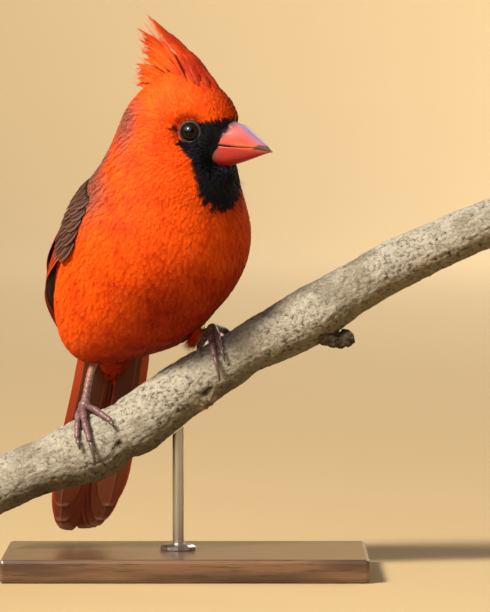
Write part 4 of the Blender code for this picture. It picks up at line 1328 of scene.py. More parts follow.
def wing_web(side, root, tip, heights, shade, half_width, tilt, bow=0.0, rows=15, pointed=0.55, lift=0.0):
    """A web on the folded wing from root to tip."""
    share = np.sin(np.linspace(0.0, 0.5 * math.pi, rows))
    along = root[0] + (tip[0] - root[0]) * share
    angle = root[1] + (tip[1] - root[1]) * share + bow * np.sin(math.pi * share)
    height = heights[0] + (heights[1] - heights[0]) * share + lift * np.sin(math.pi * share)
    path = on_wing(along, angle, height, side)
    turn = np.radians(angle - tilt)
    normals = BODY.way(stacked(0.12, side * np.sin(turn), np.cos(turn)))
    return web_sheet(path, half_width * blade(share, pointed), normals, -side, shade)


def fan(count, first, last):
    """Places from first to last for each of count feathers."""
    first, last = np.array(first), np.array(last)
    return [tuple(first + (last - first) * i / (count - 1)) for i in range(count)]


class CARDINAL_OT_wings(bpy.types.Operator):
    """Add both folded wings: primaries, secondaries, tertials and tiers of coverts"""

    bl_idname = "cardinal.wings"
    bl_label = "Wings"

    def execute(self, context):
        look = chosen()
        flight = shared("flight_feathers", web_look, look.web, look.edge, 0.34)
        covert = shared("wing_coverts", web_look, TINTS["covert"], TINTS["covert edge"], 0.30)
        for name, side in SIDES:
            draw = np.random.default_rng(WING_SEED)
            obj = sheaf(f"flight_{name}", self.flight(side, draw), flight)
            dressed(obj, f"wing_{name}_flight", (f"wing_{name}",))
            obj = sheaf(f"coverts_{name}", self.coverts(side, draw), covert)
            dressed(obj, f"wing_{name}_coverts")
        return {"FINISHED"}

    def flight(self, side, draw):
        sheets = []
        for i, tip in enumerate(catmull(PRIMARY_TIPS, PRIMARIES)):
            step = i * 4 / (PRIMARIES - 1)
            root, heights = (5.0 - 1.5 * step, 88.0 - 7.0 * step), (0.5, 0.8 + 0.3 * step)
            sheets.append(wing_web(side, root, tip, heights, draw.random(), **PRIMARY_FORM))
        for count, first, last, (low, high), rise, form in INNER_FLIGHT:
            for i, place in enumerate(fan(count, first, last)):
                heights = (low, high + rise * i)
                sheets.append(wing_web(side, place[:2], place[2:], heights, draw.random(), **form))
        return sheets

    def coverts(self, side, draw):
        sheets = []
        for count, first, last, heights, half_width in COVERT_TIERS:
            for start, angle, end in fan(count, first, last):
                end = end + draw.uniform(-0.6, 0.6)
                angle = angle + draw.uniform(-0.8, 0.8)
                root, tip = (start, angle + 3.0), (end, angle - 3.0)
                form = {"half_width": half_width, "tilt": 14.0, "rows": 10, "pointed": 0.5}
                sheets.append(wing_web(side, root, tip, heights, draw.random(), **form))
        return sheets


RECTRIX_LENGTH = 83.5
RECTRIX_HALF_WIDTH = 6.9
# How much shorter each tail feather of a side is than the longest, from the middle pair outwards.
RECTRIX_SHORTER = (0.0, 0.5, 1.2, 2.4, 5.0, 11.5)
TAIL_COVERTS_AT = (-7.0, 7.0, -3.6, 3.6, 0.0)


class CARDINAL_OT_tail(bpy.types.Operator):
    """Add the twelve long tail feathers in their two stacks, and the coverts over their roots"""

    bl_idname = "cardinal.tail"
    bl_label = "Tail"

    def execute(self, context):
        rust = shared("tail_feathers", web_look, TINTS["tail"], TINTS["tail edge"], 0.13, 0.32)
        draw = np.random.default_rng(TAIL_SEED)
        sheets = []
        share = np.sin(np.linspace(0.0, 0.5 * math.pi, 26))
        for side in (1.0, -1.0):
            for number, shorter in enumerate(RECTRIX_SHORTER):
                length = RECTRIX_LENGTH - shorter - (0.8 if side > 0 else 0.0)
                depth = 0.9 - 0.9 * number - (0.0 if side > 0 else 0.45)
                across = side * (2.2 + 1.2 * number + (1.0 + 0.16 * number) * share)
                rise = depth * (0.55 + 0.45 * np.minimum(3 * share, 1.0)) + 1.8 * share**2
                path = TAIL.point(stacked(4.0 - (length + 4.0) * share, across, rise))
                widths = RECTRIX_HALF_WIDTH * np.minimum(0.8 + share, 1.0) * blade(0.35 + 0.65 * share, 0.86)
                normals = np.broadcast_to(TAIL.way((0.0, side * 0.035, -1.0)), path.shape)
                form = {"camber": 0.02, "columns": 11, "thickness": 0.3}
                sheets.append(web_sheet(path, widths, normals, side, draw.random(), **form))
        share = np.linspace(0.0, 1.0, 12)
        for i, across in enumerate(TAIL_COVERTS_AT):
            length = 32.0 + 2.0 * i
            path = TAIL.point(stacked(8.0 - length * share, across, 2.0 + 0.9 * share + 0.3 * i))
            normals = np.broadcast_to(TAIL.axes[2], path.shape)
            sheets.append(web_sheet(path, 4.4 * blade(share), normals, 1.0, draw.random()))
        obj = sheaf("tail_webs", sheets, rust)
        dressed(obj, "tail_feathers", ("tail",))
        return {"FINISHED"}


# How far forward the bill's first and last sections lie, and how far each half stays off the mouth line.
BILL_START = 12.5
BILL_END = 38.1
BILL_PARTED = 0.15


def bill_rings(half, count=34, around=40):
    """Sections of one half of the bill from inside the face to its tip."""
    places = BILL_START + (BILL_END - BILL_START) * np.linspace(0.0, 1.0, count) ** 0.9
    lines = [catmull(outline, 200) for outline in (CULMEN, GONYS, MOUTH_LINE, BILL_HALF_WIDTH)]
    sections = zip(places, *(np.interp(places, line[:, 0], line[:, 1]) for line in lines))
    angles = FULL_TURN * (np.arange(around) + 0.5) / around
    across, rise = np.cos(angles), np.sin(angles)
    rings = []
    for place, culmen, gonys, mouth, wide in sections:
        if half == "upper":
            flat = mouth + BILL_PARTED
            span = max(culmen - flat, 0.25)
            overhang = -0.25 * np.abs(across) ** 3 * np.minimum(wide, 2) / 2
            lift = np.where(rise > 0, np.abs(rise) ** 0.9 * span, overhang)
        else:
            flat = mouth - BILL_PARTED
            wide *= 0.94
            span = max(flat - gonys, 0.25)
            lift = np.where(rise < 0, -np.abs(rise) ** 0.9 * span, 0.0)
        aside = np.sign(across) * np.abs(across) ** 0.86 * wide
        rings.append(HEAD.point(stacked(place, aside, flat + lift)))
    return rings


def bill_look(g):
    """Coral horn: rosy towards the ridge with a painted mauve sheen along it, deep red below, a dusky tip and
    mouth line, and painted shade over the base.
    """
    forward, _, up = g.local(HEAD)
    fine = g.noise(g.place(), 380.0, 4.0)
    streaks = g.noise(g.stretched(g.place(), (260.0, 260.0, 1400.0)), 1.0, 3.0)
    colour = g.blend(g.step(fine, 0.3, 0.75) * 0.5, chosen().bill, TINTS["bill mottle"])
    slope = up + forward * 0.62 - 15.0 + fine * 1.2
    slope = slope + (1.0 - g.step(forward, 19.0, 25.0)) * 1.5
    rose = g.step(slope, 1.0, 4.6)
    colour = g.blend(rose * 0.6, colour, TINTS["bill rose"])
    # Painted reflection: a pale mauve sheen along the top of the bill.
    above = g.step(slope, 4.1, 5.8)
    colour = g.blend(above * 0.85, colour, TINTS["painted ridge sheen"])
    # Painted shade over the upper base of the bill, under the face feathers.
    base = (1.0 - g.step(forward + fine * 2.0, 21.5, 25.5)) * g.step(up, -2.0, 2.5)
    colour = g.blend(base * 0.75, colour, TINTS["painted shade at bill base"])
    lower = 1.0 - g.step(up + fine * 0.6, -4.4, -3.4)
    deep = 1.0 - g.step(up - forward * 0.28 + fine, -15.8, -12.6)
    colour = g.blend(lower * (0.75 + deep * 0.24), colour, TINTS["bill below"])
    root = 1.0 - g.step(forward + fine * 2.0, 17.0, 20.5)
    colour = g.blend(root * lower * (1.0 - deep) * 0.85, colour, TINTS["bill root"])
    edge = g.step(up, -4.0, -3.1) * (1.0 - g.step(up + fine * 0.6, -2.5, -0.6))
    edge = edge * g.step(forward, 22.0, 27.0)
    colour = g.blend(edge * 0.85, colour, TINTS["bill cutting edge"])
    tip = g.step(forward - up * 0.83 + fine * 1.6, 34.6, 35.6) * g.step(up, -4.2, -3.5)
    tip = tip * (1.0 - g.step(up + fine * 0.9, -1.6, -0.9))
    colour = g.blend(tip * 0.9, colour, TINTS["bill tip"])
    gape = 1.0 - g.step(abs(up + 3.55) + fine * 0.4, 0.35, 0.75)
    gape = gape * (1.0 - g.step(forward + fine * 2.0, 23.5, 27.5))
    colour = g.blend(gape * 0.85, colour, TINTS["gape"])
    return g.finish(
        Base_Color=colour,
        Roughness=0.36 + fine * 0.15,
        Coat_Weight=0.08,
        Coat_Roughness=0.25,
        Normal=g.bump(fine * 0.5 + streaks, 0.25, 0.00015),
        Subsurface_Weight=0.12,
        Subsurface_Radius=(0.0015, 0.0006, 0.0004),
    )


BILL_TIPS = (("upper", (38.4, 0.0, -3.5)), ("lower", (38.0, 0.0, -4.05)))
# Each nostril: its place on the left of the head, how far the pit spreads each way, and its depth.
NOSTRIL = np.array([21.0, 4.4, 3.0])
NOSTRIL_SPREAD = (1.1, 1.4, 0.8)
NOSTRIL_DEPTH = 1.3


class CARDINAL_OT_bill(bpy.types.Operator):
    """Add the two halves of the bill, with nostrils and the line of the mouth"""

    bl_idname = "cardinal.bill"
    bl_label = "Bill"

    def execute(self, context):
        for half, tip in BILL_TIPS:
            rings = bill_rings(half)
            obj, _, _ = loft(rings, rings[0].mean(axis=0), HEAD.point(tip))
            if half == "upper":
                self.sink_nostrils(obj)
            painted(obj, shared("bill_horn", bill_look))
            dressed(obj, f"bill_{half}_horn", (f"bill_{half}",))
        return {"FINISHED"}

    def sink_nostrils(self, obj):
        """Presses a small pit into each side near the base."""
        local = HEAD.local(vertices_of(obj) / MM)
        for _, side in SIDES:
            away = (local - NOSTRIL * (1.0, side, 1.0)) / NOSTRIL_SPREAD
            near = np.exp(-(away[:, 0] ** 2 + away[:, 1] ** 2 + away[:, 2] ** 2))
            local[:, 1] -= side * NOSTRIL_DEPTH * near
        move_vertices(obj, HEAD.point(local) * MM)


def eye_frame(side):
    """An eye's middle, the way it looks, and two ways across it."""
    axis = HEAD.way(unit((0.22, side, 0.06)))
    across = unit(np.cross(axis, HEAD.axes[2]))
    centre = HEAD.point(np.array(EYE_PLACE) * (1.0, side, 1.0))
    return Frame(centre, axis, across, np.cross(axis, across))


def eye_look(g, side):
    """Dark brown iris round a black pupil, with a painted soft bluish reflection."""
    _, across, over = g.local(eye_frame(side))
    radius = (across * across + over * over) ** 0.5
    fine = g.noise(g.place(), 900.0, 3.0)
    iris = g.blend(fine, TINTS["iris"], TINTS["iris fleck"])
    pupil = 1.0 - g.step(radius, 1.75, 2.0)
    colour = g.blend(pupil, iris, TINTS["pupil"])
    colour = g.blend(g.step(radius, 2.95, 3.3), colour, TINTS["eye rim"])
    # Painted reflection: a soft bluish patch at the upper back of the eye.
    back, up = across * (-side) - 0.9, over + 1.2
    off = (back * back * 0.5 + up * up) ** 0.5
    colour = g.blend((1.0 - g.step(off, 0.1, 1.3)) * 0.8, colour, TINTS["painted eye reflection"])
    return g.finish(Base_Color=colour, Roughness=0.04, Specular_IOR_Level=0.13)


def lid_look(g, side):
    """A bare dark lid with a pale edge outside and a fainter one next to the eye."""
    _, across, over = g.local(eye_frame(side))
    radius = (across * across + over * over) ** 0.5
    fine = g.cells(2600.0)
    pale = g.step(radius, 3.98, 4.06) * (1.0 - g.step(radius, 4.18, 4.3))
    pale = pale + g.step(radius, 3.46, 3.54) * (1.0 - g.step(radius, 3.6, 3.7)) * 0.35
    colour = g.blend(pale, TINTS["lid"], g.blend(fine, TINTS["lid edge"], TINTS["lid grain"]))
    bump = g.bump(fine, 0.4, 0.0001)
    return g.finish(Base_Color=colour, Roughness=0.6, Specular_IOR_Level=0.3, Normal=bump)


# The lid's section: distance from the eye's axis and along it.
LID_SECTION = [
    (3.35, 2.50),
    (3.55, 2.72),
    (3.85, 2.80),
    (4.15, 2.62),
    (4.40, 2.20),
    (4.60, 1.20),
    (4.20, 0.30),
    (3.60, 1.40),
]


class CARDINAL_OT_eyes(bpy.types.Operator):
    """Add the eyes and the bare rings of their lids"""

    bl_idname = "cardinal.eyes"
    bl_label = "Eyes"

    def execute(self, context):
        for name, side in SIDES:
            place = eye_frame(side)
            obj = ball(place.origin, EYE_RADIUS, 48, 32)
            painted(obj, shared(f"eye_{name}_glass", eye_look, side))
            dressed(obj, f"eye_{name}_ball", (f"eye_{name}",))
            deselect()
            bpy.ops.mesh.primitive_torus_add(
                major_segments=56, minor_segments=len(LID_SECTION) * 2, major_radius=1.0, minor_radius=0.25
            )
            lid = bpy.context.active_object
            self.shape_lid(lid, place)
            painted(lid, shared(f"lid_{name}_skin", lid_look, side))
            dressed(lid, f"lid_{name}")
        return {"FINISHED"}

    def shape_lid(self, lid, place):
        """Moves a plain ring onto the section of the lid round the eye."""
        plain = vertices_of(lid)
        turn = np.arctan2(plain[:, 1], plain[:, 0])
        section = np.arctan2(plain[:, 2], np.hypot(plain[:, 0], plain[:, 1]) - 1.0) / FULL_TURN % 1.0
        outline = np.array(LID_SECTION + LID_SECTION[:1])
        knots = np.linspace(0.0, 1.0, len(outline))
        radius, height = (np.interp((0.5 - section) % 1.0, knots, outline[:, i]) for i in (0, 1))
        wrinkle = 0.05 * np.sin(turn * 23.0) * (radius > 3.5)
        axis, across, over = place.axes
        out = np.cos(turn)[:, None] * across + np.sin(turn)[:, None] * over
        moved = place.origin + out * radius[:, None] + axis * (height + wrinkle)[:, None]
        move_vertices(lid, moved * MM)
        finish_surface()


# The perch: distance across the scene, height and radius.
PERCH_ROUTE = [
    (-77.0, 32.6, 11.2),
    (-55.0, 41.2, 10.6),
    (-36.0, 48.5, 12.9),
    (-25.5, 54.5, 10.9),
    (-18.8, 57.8, 11.7),
    (0.8, 72.3, 10.8),
    (15.0, 81.0, 10.2),
    (25.4, 87.4, 9.8),
    (46.9, 98.8, 11.3),
    (63.0, 109.0, 10.0),
    (84.6, 121.0, 9.7),
    (106.0, 130.8, 9.3),
    (122.0, 137.0, 9.6),
]
PERCH_LINE = catmull(PERCH_ROUTE, 241)


# The way from the perch to the viewer.
FRONT = np.array([0.0, -1.0, 0.0])


def perch_line(x):
    """Middle, along, top and radius of the perch at a distance across the scene."""
    across, heights, radii = PERCH_LINE[:, 0], PERCH_LINE[:, 1], PERCH_LINE[:, 2]
    rise = (np.interp(x + 2, across, heights) - np.interp(x - 2, across, heights)) / 4
    along = unit((1.0, 0.0, float(rise)))
    middle = np.array([x, 0.0, np.interp(x, across, heights)])
    return middle, along, np.array([-along[2], 0.0, along[0]]), float(np.interp(x, across, radii))


def on_perch(x, angle, height):
    """A point height off the bark; angle 0 faces the viewer and 90 is the top."""
    middle, _, top, radius = perch_line(x)
    turn = math.radians(angle)
    return middle + (radius + height) * (math.cos(turn) * FRONT + math.sin(turn) * top)


def bark_look(g):
    """Grey bark, flaked, fibrous and pitted, darker and browner with painted shade below; growth rings where
    it is cut.
    """
    where = g.stretched(g.place(), (1.0, 1.0, 1.0), (0.0, math.radians(33.0), 0.0))
    mottle = g.noise(where, 1000.0, 6.0, 0.74)
    grain = g.noise(g.stretched(where, (800.0, 1500.0, 1500.0)), 1.0, 5.0, 0.7)
    broad = g.noise(where, 55.0, 4.0)
    fibre = g.noise(g.stretched(where, (36.0, 700.0, 700.0), (0.0, 0.12, 0.0)), 1.0, 4.0, 0.6)
    tone = g.step(mottle * 0.6 + grain * 0.35 + g.number("raised") * 0.2 + broad * 0.2, 0.48, 0.70)
    colour = g.blend(tone, TINTS["bark crevice"], chosen().bark)
    pale = g.step(mottle * 0.6 + grain * 0.3 + broad * 0.4, 0.70, 0.80)
    colour = g.blend(pale * 0.85, colour, TINTS["bark flakes"])
    colour = g.blend(g.step(broad, 0.52, 0.66) * 0.45, colour, TINTS["bark brown"])
    colour = g.blend(g.step(fibre, 0.64, 0.70) * 0.5, colour, TINTS["bark fibre"])
    colour = g.blend(g.number("hollow"), colour, TINTS["bark pit"])
    colour = g.blend(g.number("pale") * 0.9, colour, TINTS["bare wood"])
    # Painted shade: the underside of the branch is darkened.
    colour = g.blend(g.number("under"), colour, g.darkened(colour, TINTS["painted shade under bark"]))
    rings = (g.number("radial") * 58.0 + broad * 6.0).sine() * 0.5 + 0.5
    wood = g.blend(rings * 0.6 + grain * 0.3, TINTS["early wood"], TINTS["late wood"])
    colour = g.blend(g.number("cut"), colour, wood)
    bump = g.bump(mottle * 0.8 + grain * 0.7 + pale * 0.3, 1.0, 0.0008)
    return g.finish(Base_Color=colour, Roughness=0.86, Specular_IOR_Level=0.25, Normal=bump)


# Marks on the bark: distance across the scene, angle round the perch, how far it reaches, and how
# much it stands out (or sinks in, where negative).
KNOTS = [
    (3.0, -62.0, 3.4, 1.7),
    (4.4, -34.0, 1.5, -1.6),
    (6.4, -30.0, 1.1, -1.2),
    (-27.3, -18.0, 1.6, -1.3),
    (-44.0, 20.0, 4.0, 0.8),
    (49.6, -20.0, 3.2, 0.9),
    (50.2, 30.0, 2.6, 0.7),
    (-66.0, 5.0, 3.0, 0.6),
    (74.0, 10.0, 3.6, 0.7),
    (28.0, 40.0, 3.0, 0.6),
    (96.0, -10.0, 3.0, 0.7),
]


class CARDINAL_OT_perch(bpy.types.Operator):
    """Add the cut length of branch with its bark, knots and broken twig"""

    bl_idname = "cardinal.perch"
    bl_label = "Perch"

    def execute(self, context):
        relief = chosen().bark_relief / MM
        around, count = 128, 520
        xs = np.linspace(PERCH_ROUTE[0][0], PERCH_ROUTE[-1][0], count)
        rings = np.zeros((count, around, 3))
        shares = {name: np.zeros((count, around)) for name in ("hollow", "pale", "raised")}
        turns = FULL_TURN * np.arange(around) / around
        for i, x in enumerate(xs):
            middle, _, top, radius = perch_line(x)
            for k, turn in enumerate(turns):
                across, rise = math.cos(turn), math.sin(turn)
                place = Vector((x, across * radius, rise * radius))
                swell = noise.fractal(place * 0.07, 1.0, 2.0, 3)
                ridges = noise.fractal(Vector((x * 0.2, across * 8.0, rise * 8.0)), 0.8, 2.1, 3)
                lumps = noise.fractal(place * 0.62, 0.7, 2.2, 4)
                crack = max(1.0 - abs(noise.noise(place * 0.4)) * 7.0, 0.0)
                lift = relief * (0.8 * swell + 0.5 * ridges + 0.32 * lumps - 0.2 * crack) - 0.2
                lift, sunk, bare = self.with_knots(x, turn, radius, lift)
                shares["raised"][i, k] = 0.5 + 0.6 * lumps - 0.25 * crack
                shares["hollow"][i, k] = max(0.35 * crack**2, sunk)
                shares["pale"][i, k] = bare
                rings[i, k] = middle + (radius + lift) * (across * FRONT + rise * top)
        obj = joined([self.with_cut_ends(rings, shares, turns), self.twig()])
        painted(obj, shared("bark", bark_look))
        dressed(obj, "perch_bark", ("perch_branch",))
        return {"FINISHED"}

    def with_knots(self, x, turn, radius, lift):
        """The bark's height with the marks at a place, and how sunk and how bare of bark it is there."""
        sunk, bare = 0.0, 0.0
        for knot_x, knot_angle, wide, stand in KNOTS:
            over = math.radians((math.degrees(turn) - knot_angle + 180.0) % 360.0 - 180.0) * radius
            away = math.hypot(x - knot_x, over) / wide
            if away >= 2.5:
                continue
            lumpy = 1.0 + 0.35 * math.sin(math.atan2(over, x - knot_x) * 9.0) * min(away, 1.0)
            if stand < 0:
                lift += stand * math.exp(-(away**2))
                sunk = max(sunk, math.exp(-(away**2) * 1.3))
            else:
                lift += stand * math.exp(-(away**2)) * ((0.4 + 0.8 * away) * lumpy)
            if stand > 1.5:
                bare = max(bare, math.exp(-((away - 0.8) ** 2) * 6.0) * lumpy)
        return lift, sunk, bare

    def with_cut_ends(self, rings, shares, turns):
        """The branch from its rings of bark, with a few rings of bare wood across each sawn end."""
        steps = (0.97, 0.8, 0.55, 0.3, 0.1)
        first, last = rings[0].mean(axis=0), rings[-1].mean(axis=0)
        start = [first + (rings[0] - first) * step for step in reversed(steps)]
        end = [last + (rings[-1] - last) * step for step in steps]
        whole = np.concatenate([start, rings, end])
        obj, row, column = loft(whole, first, last)
        pad = len(steps)
        cut = np.r_[np.ones(pad), np.zeros(len(rings)), np.ones(pad)]
        radial = np.r_[steps[::-1], np.ones(len(rings)), steps]
        inside = (row > 0) & (row <= len(whole))
        row = np.clip(row - 1, 0, len(whole) - 1)
        numbers(obj.data, "cut", cut[row])
        numbers(obj.data, "radial", radial[row] * inside)
        bark_row = np.clip(row - pad, 0, len(rings) - 1)
        for name, values in shares.items():
            numbers(obj.data, name, values[bark_row, column])
        # Painted shade on the underside of the branch.
        numbers(obj.data, "under", smooth(0.1, 0.75, -np.sin(turns))[column])
        return obj

    def twig(self):
        """The short broken twig on the branch's underside."""
        rows, around = 44, 40
        root = on_perch(47.5, -62.0, -4.0)
        route = [root, root + (5.0, 0.5, -3.0), root + (9.5, 1.0, -3.4), root + (13.0, 1.5, -1.8)]
        radii = np.interp(np.linspace(0, 1, rows), (0, 0.3, 0.6, 0.85, 1.0), (4.4, 3.2, 2.7, 3.3, 2.6))
        rings, ways = path_rings(catmull(route, rows), radii, around)
        for i in range(rows):
            for k in range(around):
                place = Vector(rings[i, k])
                lift = 0.75 * noise.fractal(place * 0.5, 0.8, 2.1, 4) + 0.5 * noise.noise(place * 0.25)
                rings[i, k] = rings[i, k] + ways[i, k] * lift
        obj, _, _ = loft(rings, rings[0].mean(axis=0), rings[-1].mean(axis=0) + (0.7, 0.0, 0.6))
        # Painted shade: the twig, under the branch, is darkened all over.
        shares = {"hollow": 0.62, "pale": 0.0, "raised": 0.35, "under": 1.0, "cut": 0.0, "radial": 1.0}
        for name, value in shares.items():
            numbers(obj.data, name, np.full(len(obj.data.vertices), value))
        return obj


def foot_look(g):
    """Mauve scaly skin, darker between the scales, tan up the shank."""
    fine = g.noise(g.place(), 420.0, 4.0)
    scute, joint = g.number("scute"), g.number("joint")
    colour = g.blend(g.step(fine, 0.3, 0.75), TINTS["foot dark"], TINTS["foot pale"])
    colour = g.blend(joint * (0.75 + fine * 0.3), colour, TINTS["shank tan"])
    colour = g.blend(scute * (0.8 - joint * 0.5), colour, TINTS["scale edge"])
    bump = g.bump(g.cells(1500.0) + fine * 0.4, 0.5, 0.00015)
    return g.finish(Base_Color=colour, Roughness=0.42, Normal=bump)


def claw_look(g):
    fine = g.noise(g.stretched(g.place(), (300.0, 300.0, 900.0)), 1.0, 3.0)
    colour = g.blend(fine, TINTS["claw dark"], TINTS["claw pale"])
    return g.finish(Base_Color=colour, Roughness=0.34, Coat_Weight=0.3, Normal=g.bump(fine, 0.3, 0.0001))


# Each toe: its root and end angle round the perch, its root and end offset along it, its claw's end
# angle and offset, and its thickness.
TOES = {
    "right": [
        ("middle", (84.0, 14.0), (-0.6, -4.2), (-29.0, -6.2), 1.35),
        ("inner", (80.0, 30.0), (1.2, 5.0), (12.0, 5.2), 1.2),
        ("outer", (82.0, 27.0), (-2.0, -8.2), (6.0, -8.8), 1.2),
        ("back", (108.0, 172.0), (0.4, 1.6), (214.0, 2.0), 1.35),
    ],
    "left": [
        ("middle", (80.0, 26.0), (-0.6, -4.0), (-26.0, -7.0), 1.35),
        ("inner", (86.0, 66.0), (-2.4, -7.0), (38.0, -8.4), 1.2),
        ("outer", (78.0, 32.0), (1.0, -0.8), (4.0, -2.1), 1.2),
        ("back", (104.0, 170.0), (1.8, 4.4), (212.0, 4.6), 1.3),
    ],
}
FOOT_X = {"right": -31.0, "left": 17.6}
# Where each shank goes above its foot; its last point is hidden in the belly.
LEG_ROUTE = {
    "right": [(-37.0, 6.0, 76.5), (-34.2, 9.6, 84.5), (-32.0, 12.5, 92.0)],
    "left": [(5.6, 6.6, 91.6), (2.0, 16.4, 88.0), (3.0, 15.0, 98.0)],
}
TARSUS_RADIUS = 1.45
KNUCKLE_RADIUS = 2.35
# Rows of points along one scale.
SCALE_ROWS = 6
# How thick a toe and a shank are at shares of their length.
TOE_THICKNESS = [(0.0, 1.1), (0.4, 1.0), (0.8, 0.92), (1.0, 0.78)]
SHANK_THICKNESS = [(0.0, 1.2), (0.12, 1.0), (0.5, 0.95), (0.75, 1.1), (1.0, 1.3)]


def toe_radius(radius, share):
    """A toe's radius at shares of its length, with its soft pads."""
    return radius * (1.0 + 0.09 * np.cos(share * 19.0)) * profile(TOE_THICKNESS, share)


def shank_radius(radius, share):
    return radius * profile(SHANK_THICKNESS, share)


class CARDINAL_OT_feet(bpy.types.Operator):
    """Add the shanks and feet with their scales, and the claws"""

    bl_idname = "cardinal.feet"
    bl_label = "Legs and feet"

    def execute(self, context):
        for side in ("right", "left"):
            self.foot(side)
        return {"FINISHED"}

    def bar(self, route, radius, form, scutes, tan, around=20):
        """A shank or toe whose upper side has overlapping scales."""
        path = catmull(route, scutes * SCALE_ROWS + 1)
        share = np.linspace(0.0, 1.0, len(path))
        radii = form(radius, share)
        rings, ways = path_rings(path, radii, around)
        saw = np.arange(len(path)) % SCALE_ROWS / SCALE_ROWS
        angles = np.linspace(0.0, FULL_TURN, around, endpoint=False)
        upper = smooth(-0.5, 0.3, np.sin(angles))
        plate = (0.5 - saw)[:, None] * upper[None] * 0.17 * radii[:, None]
        rings = rings + ways * plate[..., None]
        obj, row, column = loft(rings, *domes(path, radii, 0.5))
        row = np.clip(row - 1, 0, len(path) - 1)
        numbers(obj.data, "scute", (saw[row] > 0.8) * (0.6 + 0.4 * upper[column]))
        numbers(obj.data, "joint", tan * (0.15 + 0.85 * smooth(0.05, 0.5, share[row])))
        return obj

    def foot(self, side):
        """One foot from its knuckle, with its claws and its shank."""
        x = FOOT_X[side]
        knuckle = on_perch(x, 88.0, 3.6)
        joint = ball(knuckle, KNUCKLE_RADIUS, 24, 16)
        numbers(joint.data, "scute", np.zeros(len(joint.data.vertices)))
        numbers(joint.data, "joint", np.full(len(joint.data.vertices), 0.2))
        pieces, claws = [joint], []
        for _, (start, end), spread, claw, radius in TOES[side]:
            route = []
            for share in np.linspace(0.0, 1.0, 6):
                offset = spread[0] + (spread[1] - spread[0]) * share**0.8
                height = radius + 0.3 + 1.6 * (1 - share) ** 2
                route.append(on_perch(x + offset, start + (end - start) * share, height))
            route[0] = 0.5 * (route[0] + knuckle)
            pieces.append(self.bar(route, radius, toe_radius, 10, 0.12))
            claws.append(self.claw(x, end, spread[1], claw, radius))
        foot = painted(joined(pieces), shared("foot_scales", foot_look))
        dressed(foot, f"foot_{side}_scales", (f"foot_{side}",))
        horn = painted(joined(claws), shared("claw_horn", claw_look))
        nodes = [f"claw_{side}_{toe}" for toe in ("middle", "inner", "outer", "back")]
        dressed(horn, f"claws_{side}", nodes)
        begin = knuckle + unit(np.array(LEG_ROUTE[side][0]) - knuckle) * 0.9
        leg = self.bar([begin] + LEG_ROUTE[side], TARSUS_RADIUS, shank_radius, 16, 0.95, 24)
        painted(leg, shared("foot_scales", foot_look))
        dressed(leg, f"shank_{side}", (f"leg_{side}",))

    def claw(self, x, angle, offset, claw, radius):
        """A curved claw from the toe's end to the bark."""
        end_angle, end_offset = claw
        turn = 4.0 if end_angle > angle else -4.0
        shares = np.linspace(0.0, 1.0, 16)
        path = []
        for share in shares:
            height = radius + 0.8 + 1.3 * math.sin(math.pi * share) - (radius + 0.2) * share
            at = angle + turn + (end_angle - angle - turn) * share
            path.append(on_perch(x + offset + (end_offset - offset) * share, at, height))
        path = np.array(path)
        radii = radius * 0.66 * (1 - shares) ** 0.75 + 0.1
        rings, _ = path_rings(path, radii, 14)
        return loft(rings, *domes(path, radii, 0.55))[0]


def walnut_look(g):
    where = g.stretched(g.place(), (1.0, 7.0, 9.0))
    warp = g.noise(where, 14.0, 4.0)
    settings = {"wave_type": "BANDS", "bands_direction": "Y"}
    inputs = {"Vector": where, "Scale": 11.0, "Distortion": 7.0, "Detail": 4.0, "Detail Scale": 1.3}
    rings = g.node("ShaderNodeTexWave", settings, inputs)
    pores = g.noise(g.stretched(g.place(), (90.0, 1800.0, 1800.0)), 1.0, 3.0)
    colour = g.blend(rings * 0.75 + warp * 0.25, TINTS["walnut dark"], TINTS["walnut pale"])
    colour = g.blend(g.step(pores, 0.58, 0.68) * 0.6, colour, TINTS["walnut pore"])
    return g.finish(
        Base_Color=colour,
        Roughness=0.34 + pores * 0.15,
        Coat_Weight=0.35,
        Coat_Roughness=0.15,
        Normal=g.bump(pores, 0.25, 0.0002),
    )


def steel_look(g):
    brushed = g.noise(g.stretched(g.place(), (1200.0, 1200.0, 30.0)), 1.0, 3.0)
    colour = g.blend(brushed, TINTS["steel dark"], TINTS["steel pale"])
    return g.finish(
        Base_Color=colour, Metallic=1.0, Roughness=0.26 + brushed * 0.14, Normal=g.bump(brushed, 0.15, 0.0001)
    )


def paper_look(g):
    colour = g.blend(g.noise(g.place(), 0.35, 1.0), TINTS["paper dark"], TINTS["paper pale"])
    return g.finish(Base_Color=colour, Roughness=0.9)


class CARDINAL_OT_stand(bpy.types.Operator):
    """Finish the walnut base and the steel rod of the display stand"""

    bl_idname = "cardinal.stand"
    bl_label = "Stand"

    def execute(self, context):
        painted(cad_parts["stand_base"], shared("walnut", walnut_look))
        painted(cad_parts["stand_rod"], shared("brushed_steel", steel_look))
        return {"FINISHED"}


# The paper bowl on which the part stands, in metres: its size, and how it rises outside its flat middle.
PAPER_SIZE = 28.0
PAPER_FLAT = 5.0
PAPER_RISE = 0.07
# Each lamp: its name, place, what it points at (the part where none), power, size and colour.
LAMPS = (
    ("key", (-1.95, -2.1, 2.5), None, 295.0, 0.8, (1.0, 0.90, 0.74)),
    ("sky", (-0.9, -2.4, 1.5), None, 14.0, 1.5, (0.72, 0.84, 1.0)),
    ("fill", (2.4, -2.0, 0.9), None, 5.0, 2.0, (1.0, 0.93, 0.88)),
    ("rim", (1.6, 2.4, 1.9), None, 34.0, 1.2, (1.0, 0.95, 0.86)),
    ("backdrop", (3.5, 4.3, 0.8), (0.0, 7.2, 0.4), 820.0, 0.8, (1.0, 0.96, 0.9)),
)
ROOM_LIGHT = (0.93, 0.90, 0.84, 1.0)
ROOM_STRENGTH = 0.17


def placed(name, data, place, aim):
    """A lamp or camera at a place, turned to what it points at."""
    obj = bpy.data.objects.new(name, data)
    bpy.context.scene.collection.objects.link(obj)
    obj.location = place
    obj.rotation_euler = (aim - obj.location).to_track_quat("-Z", "Y").to_euler()
    return obj


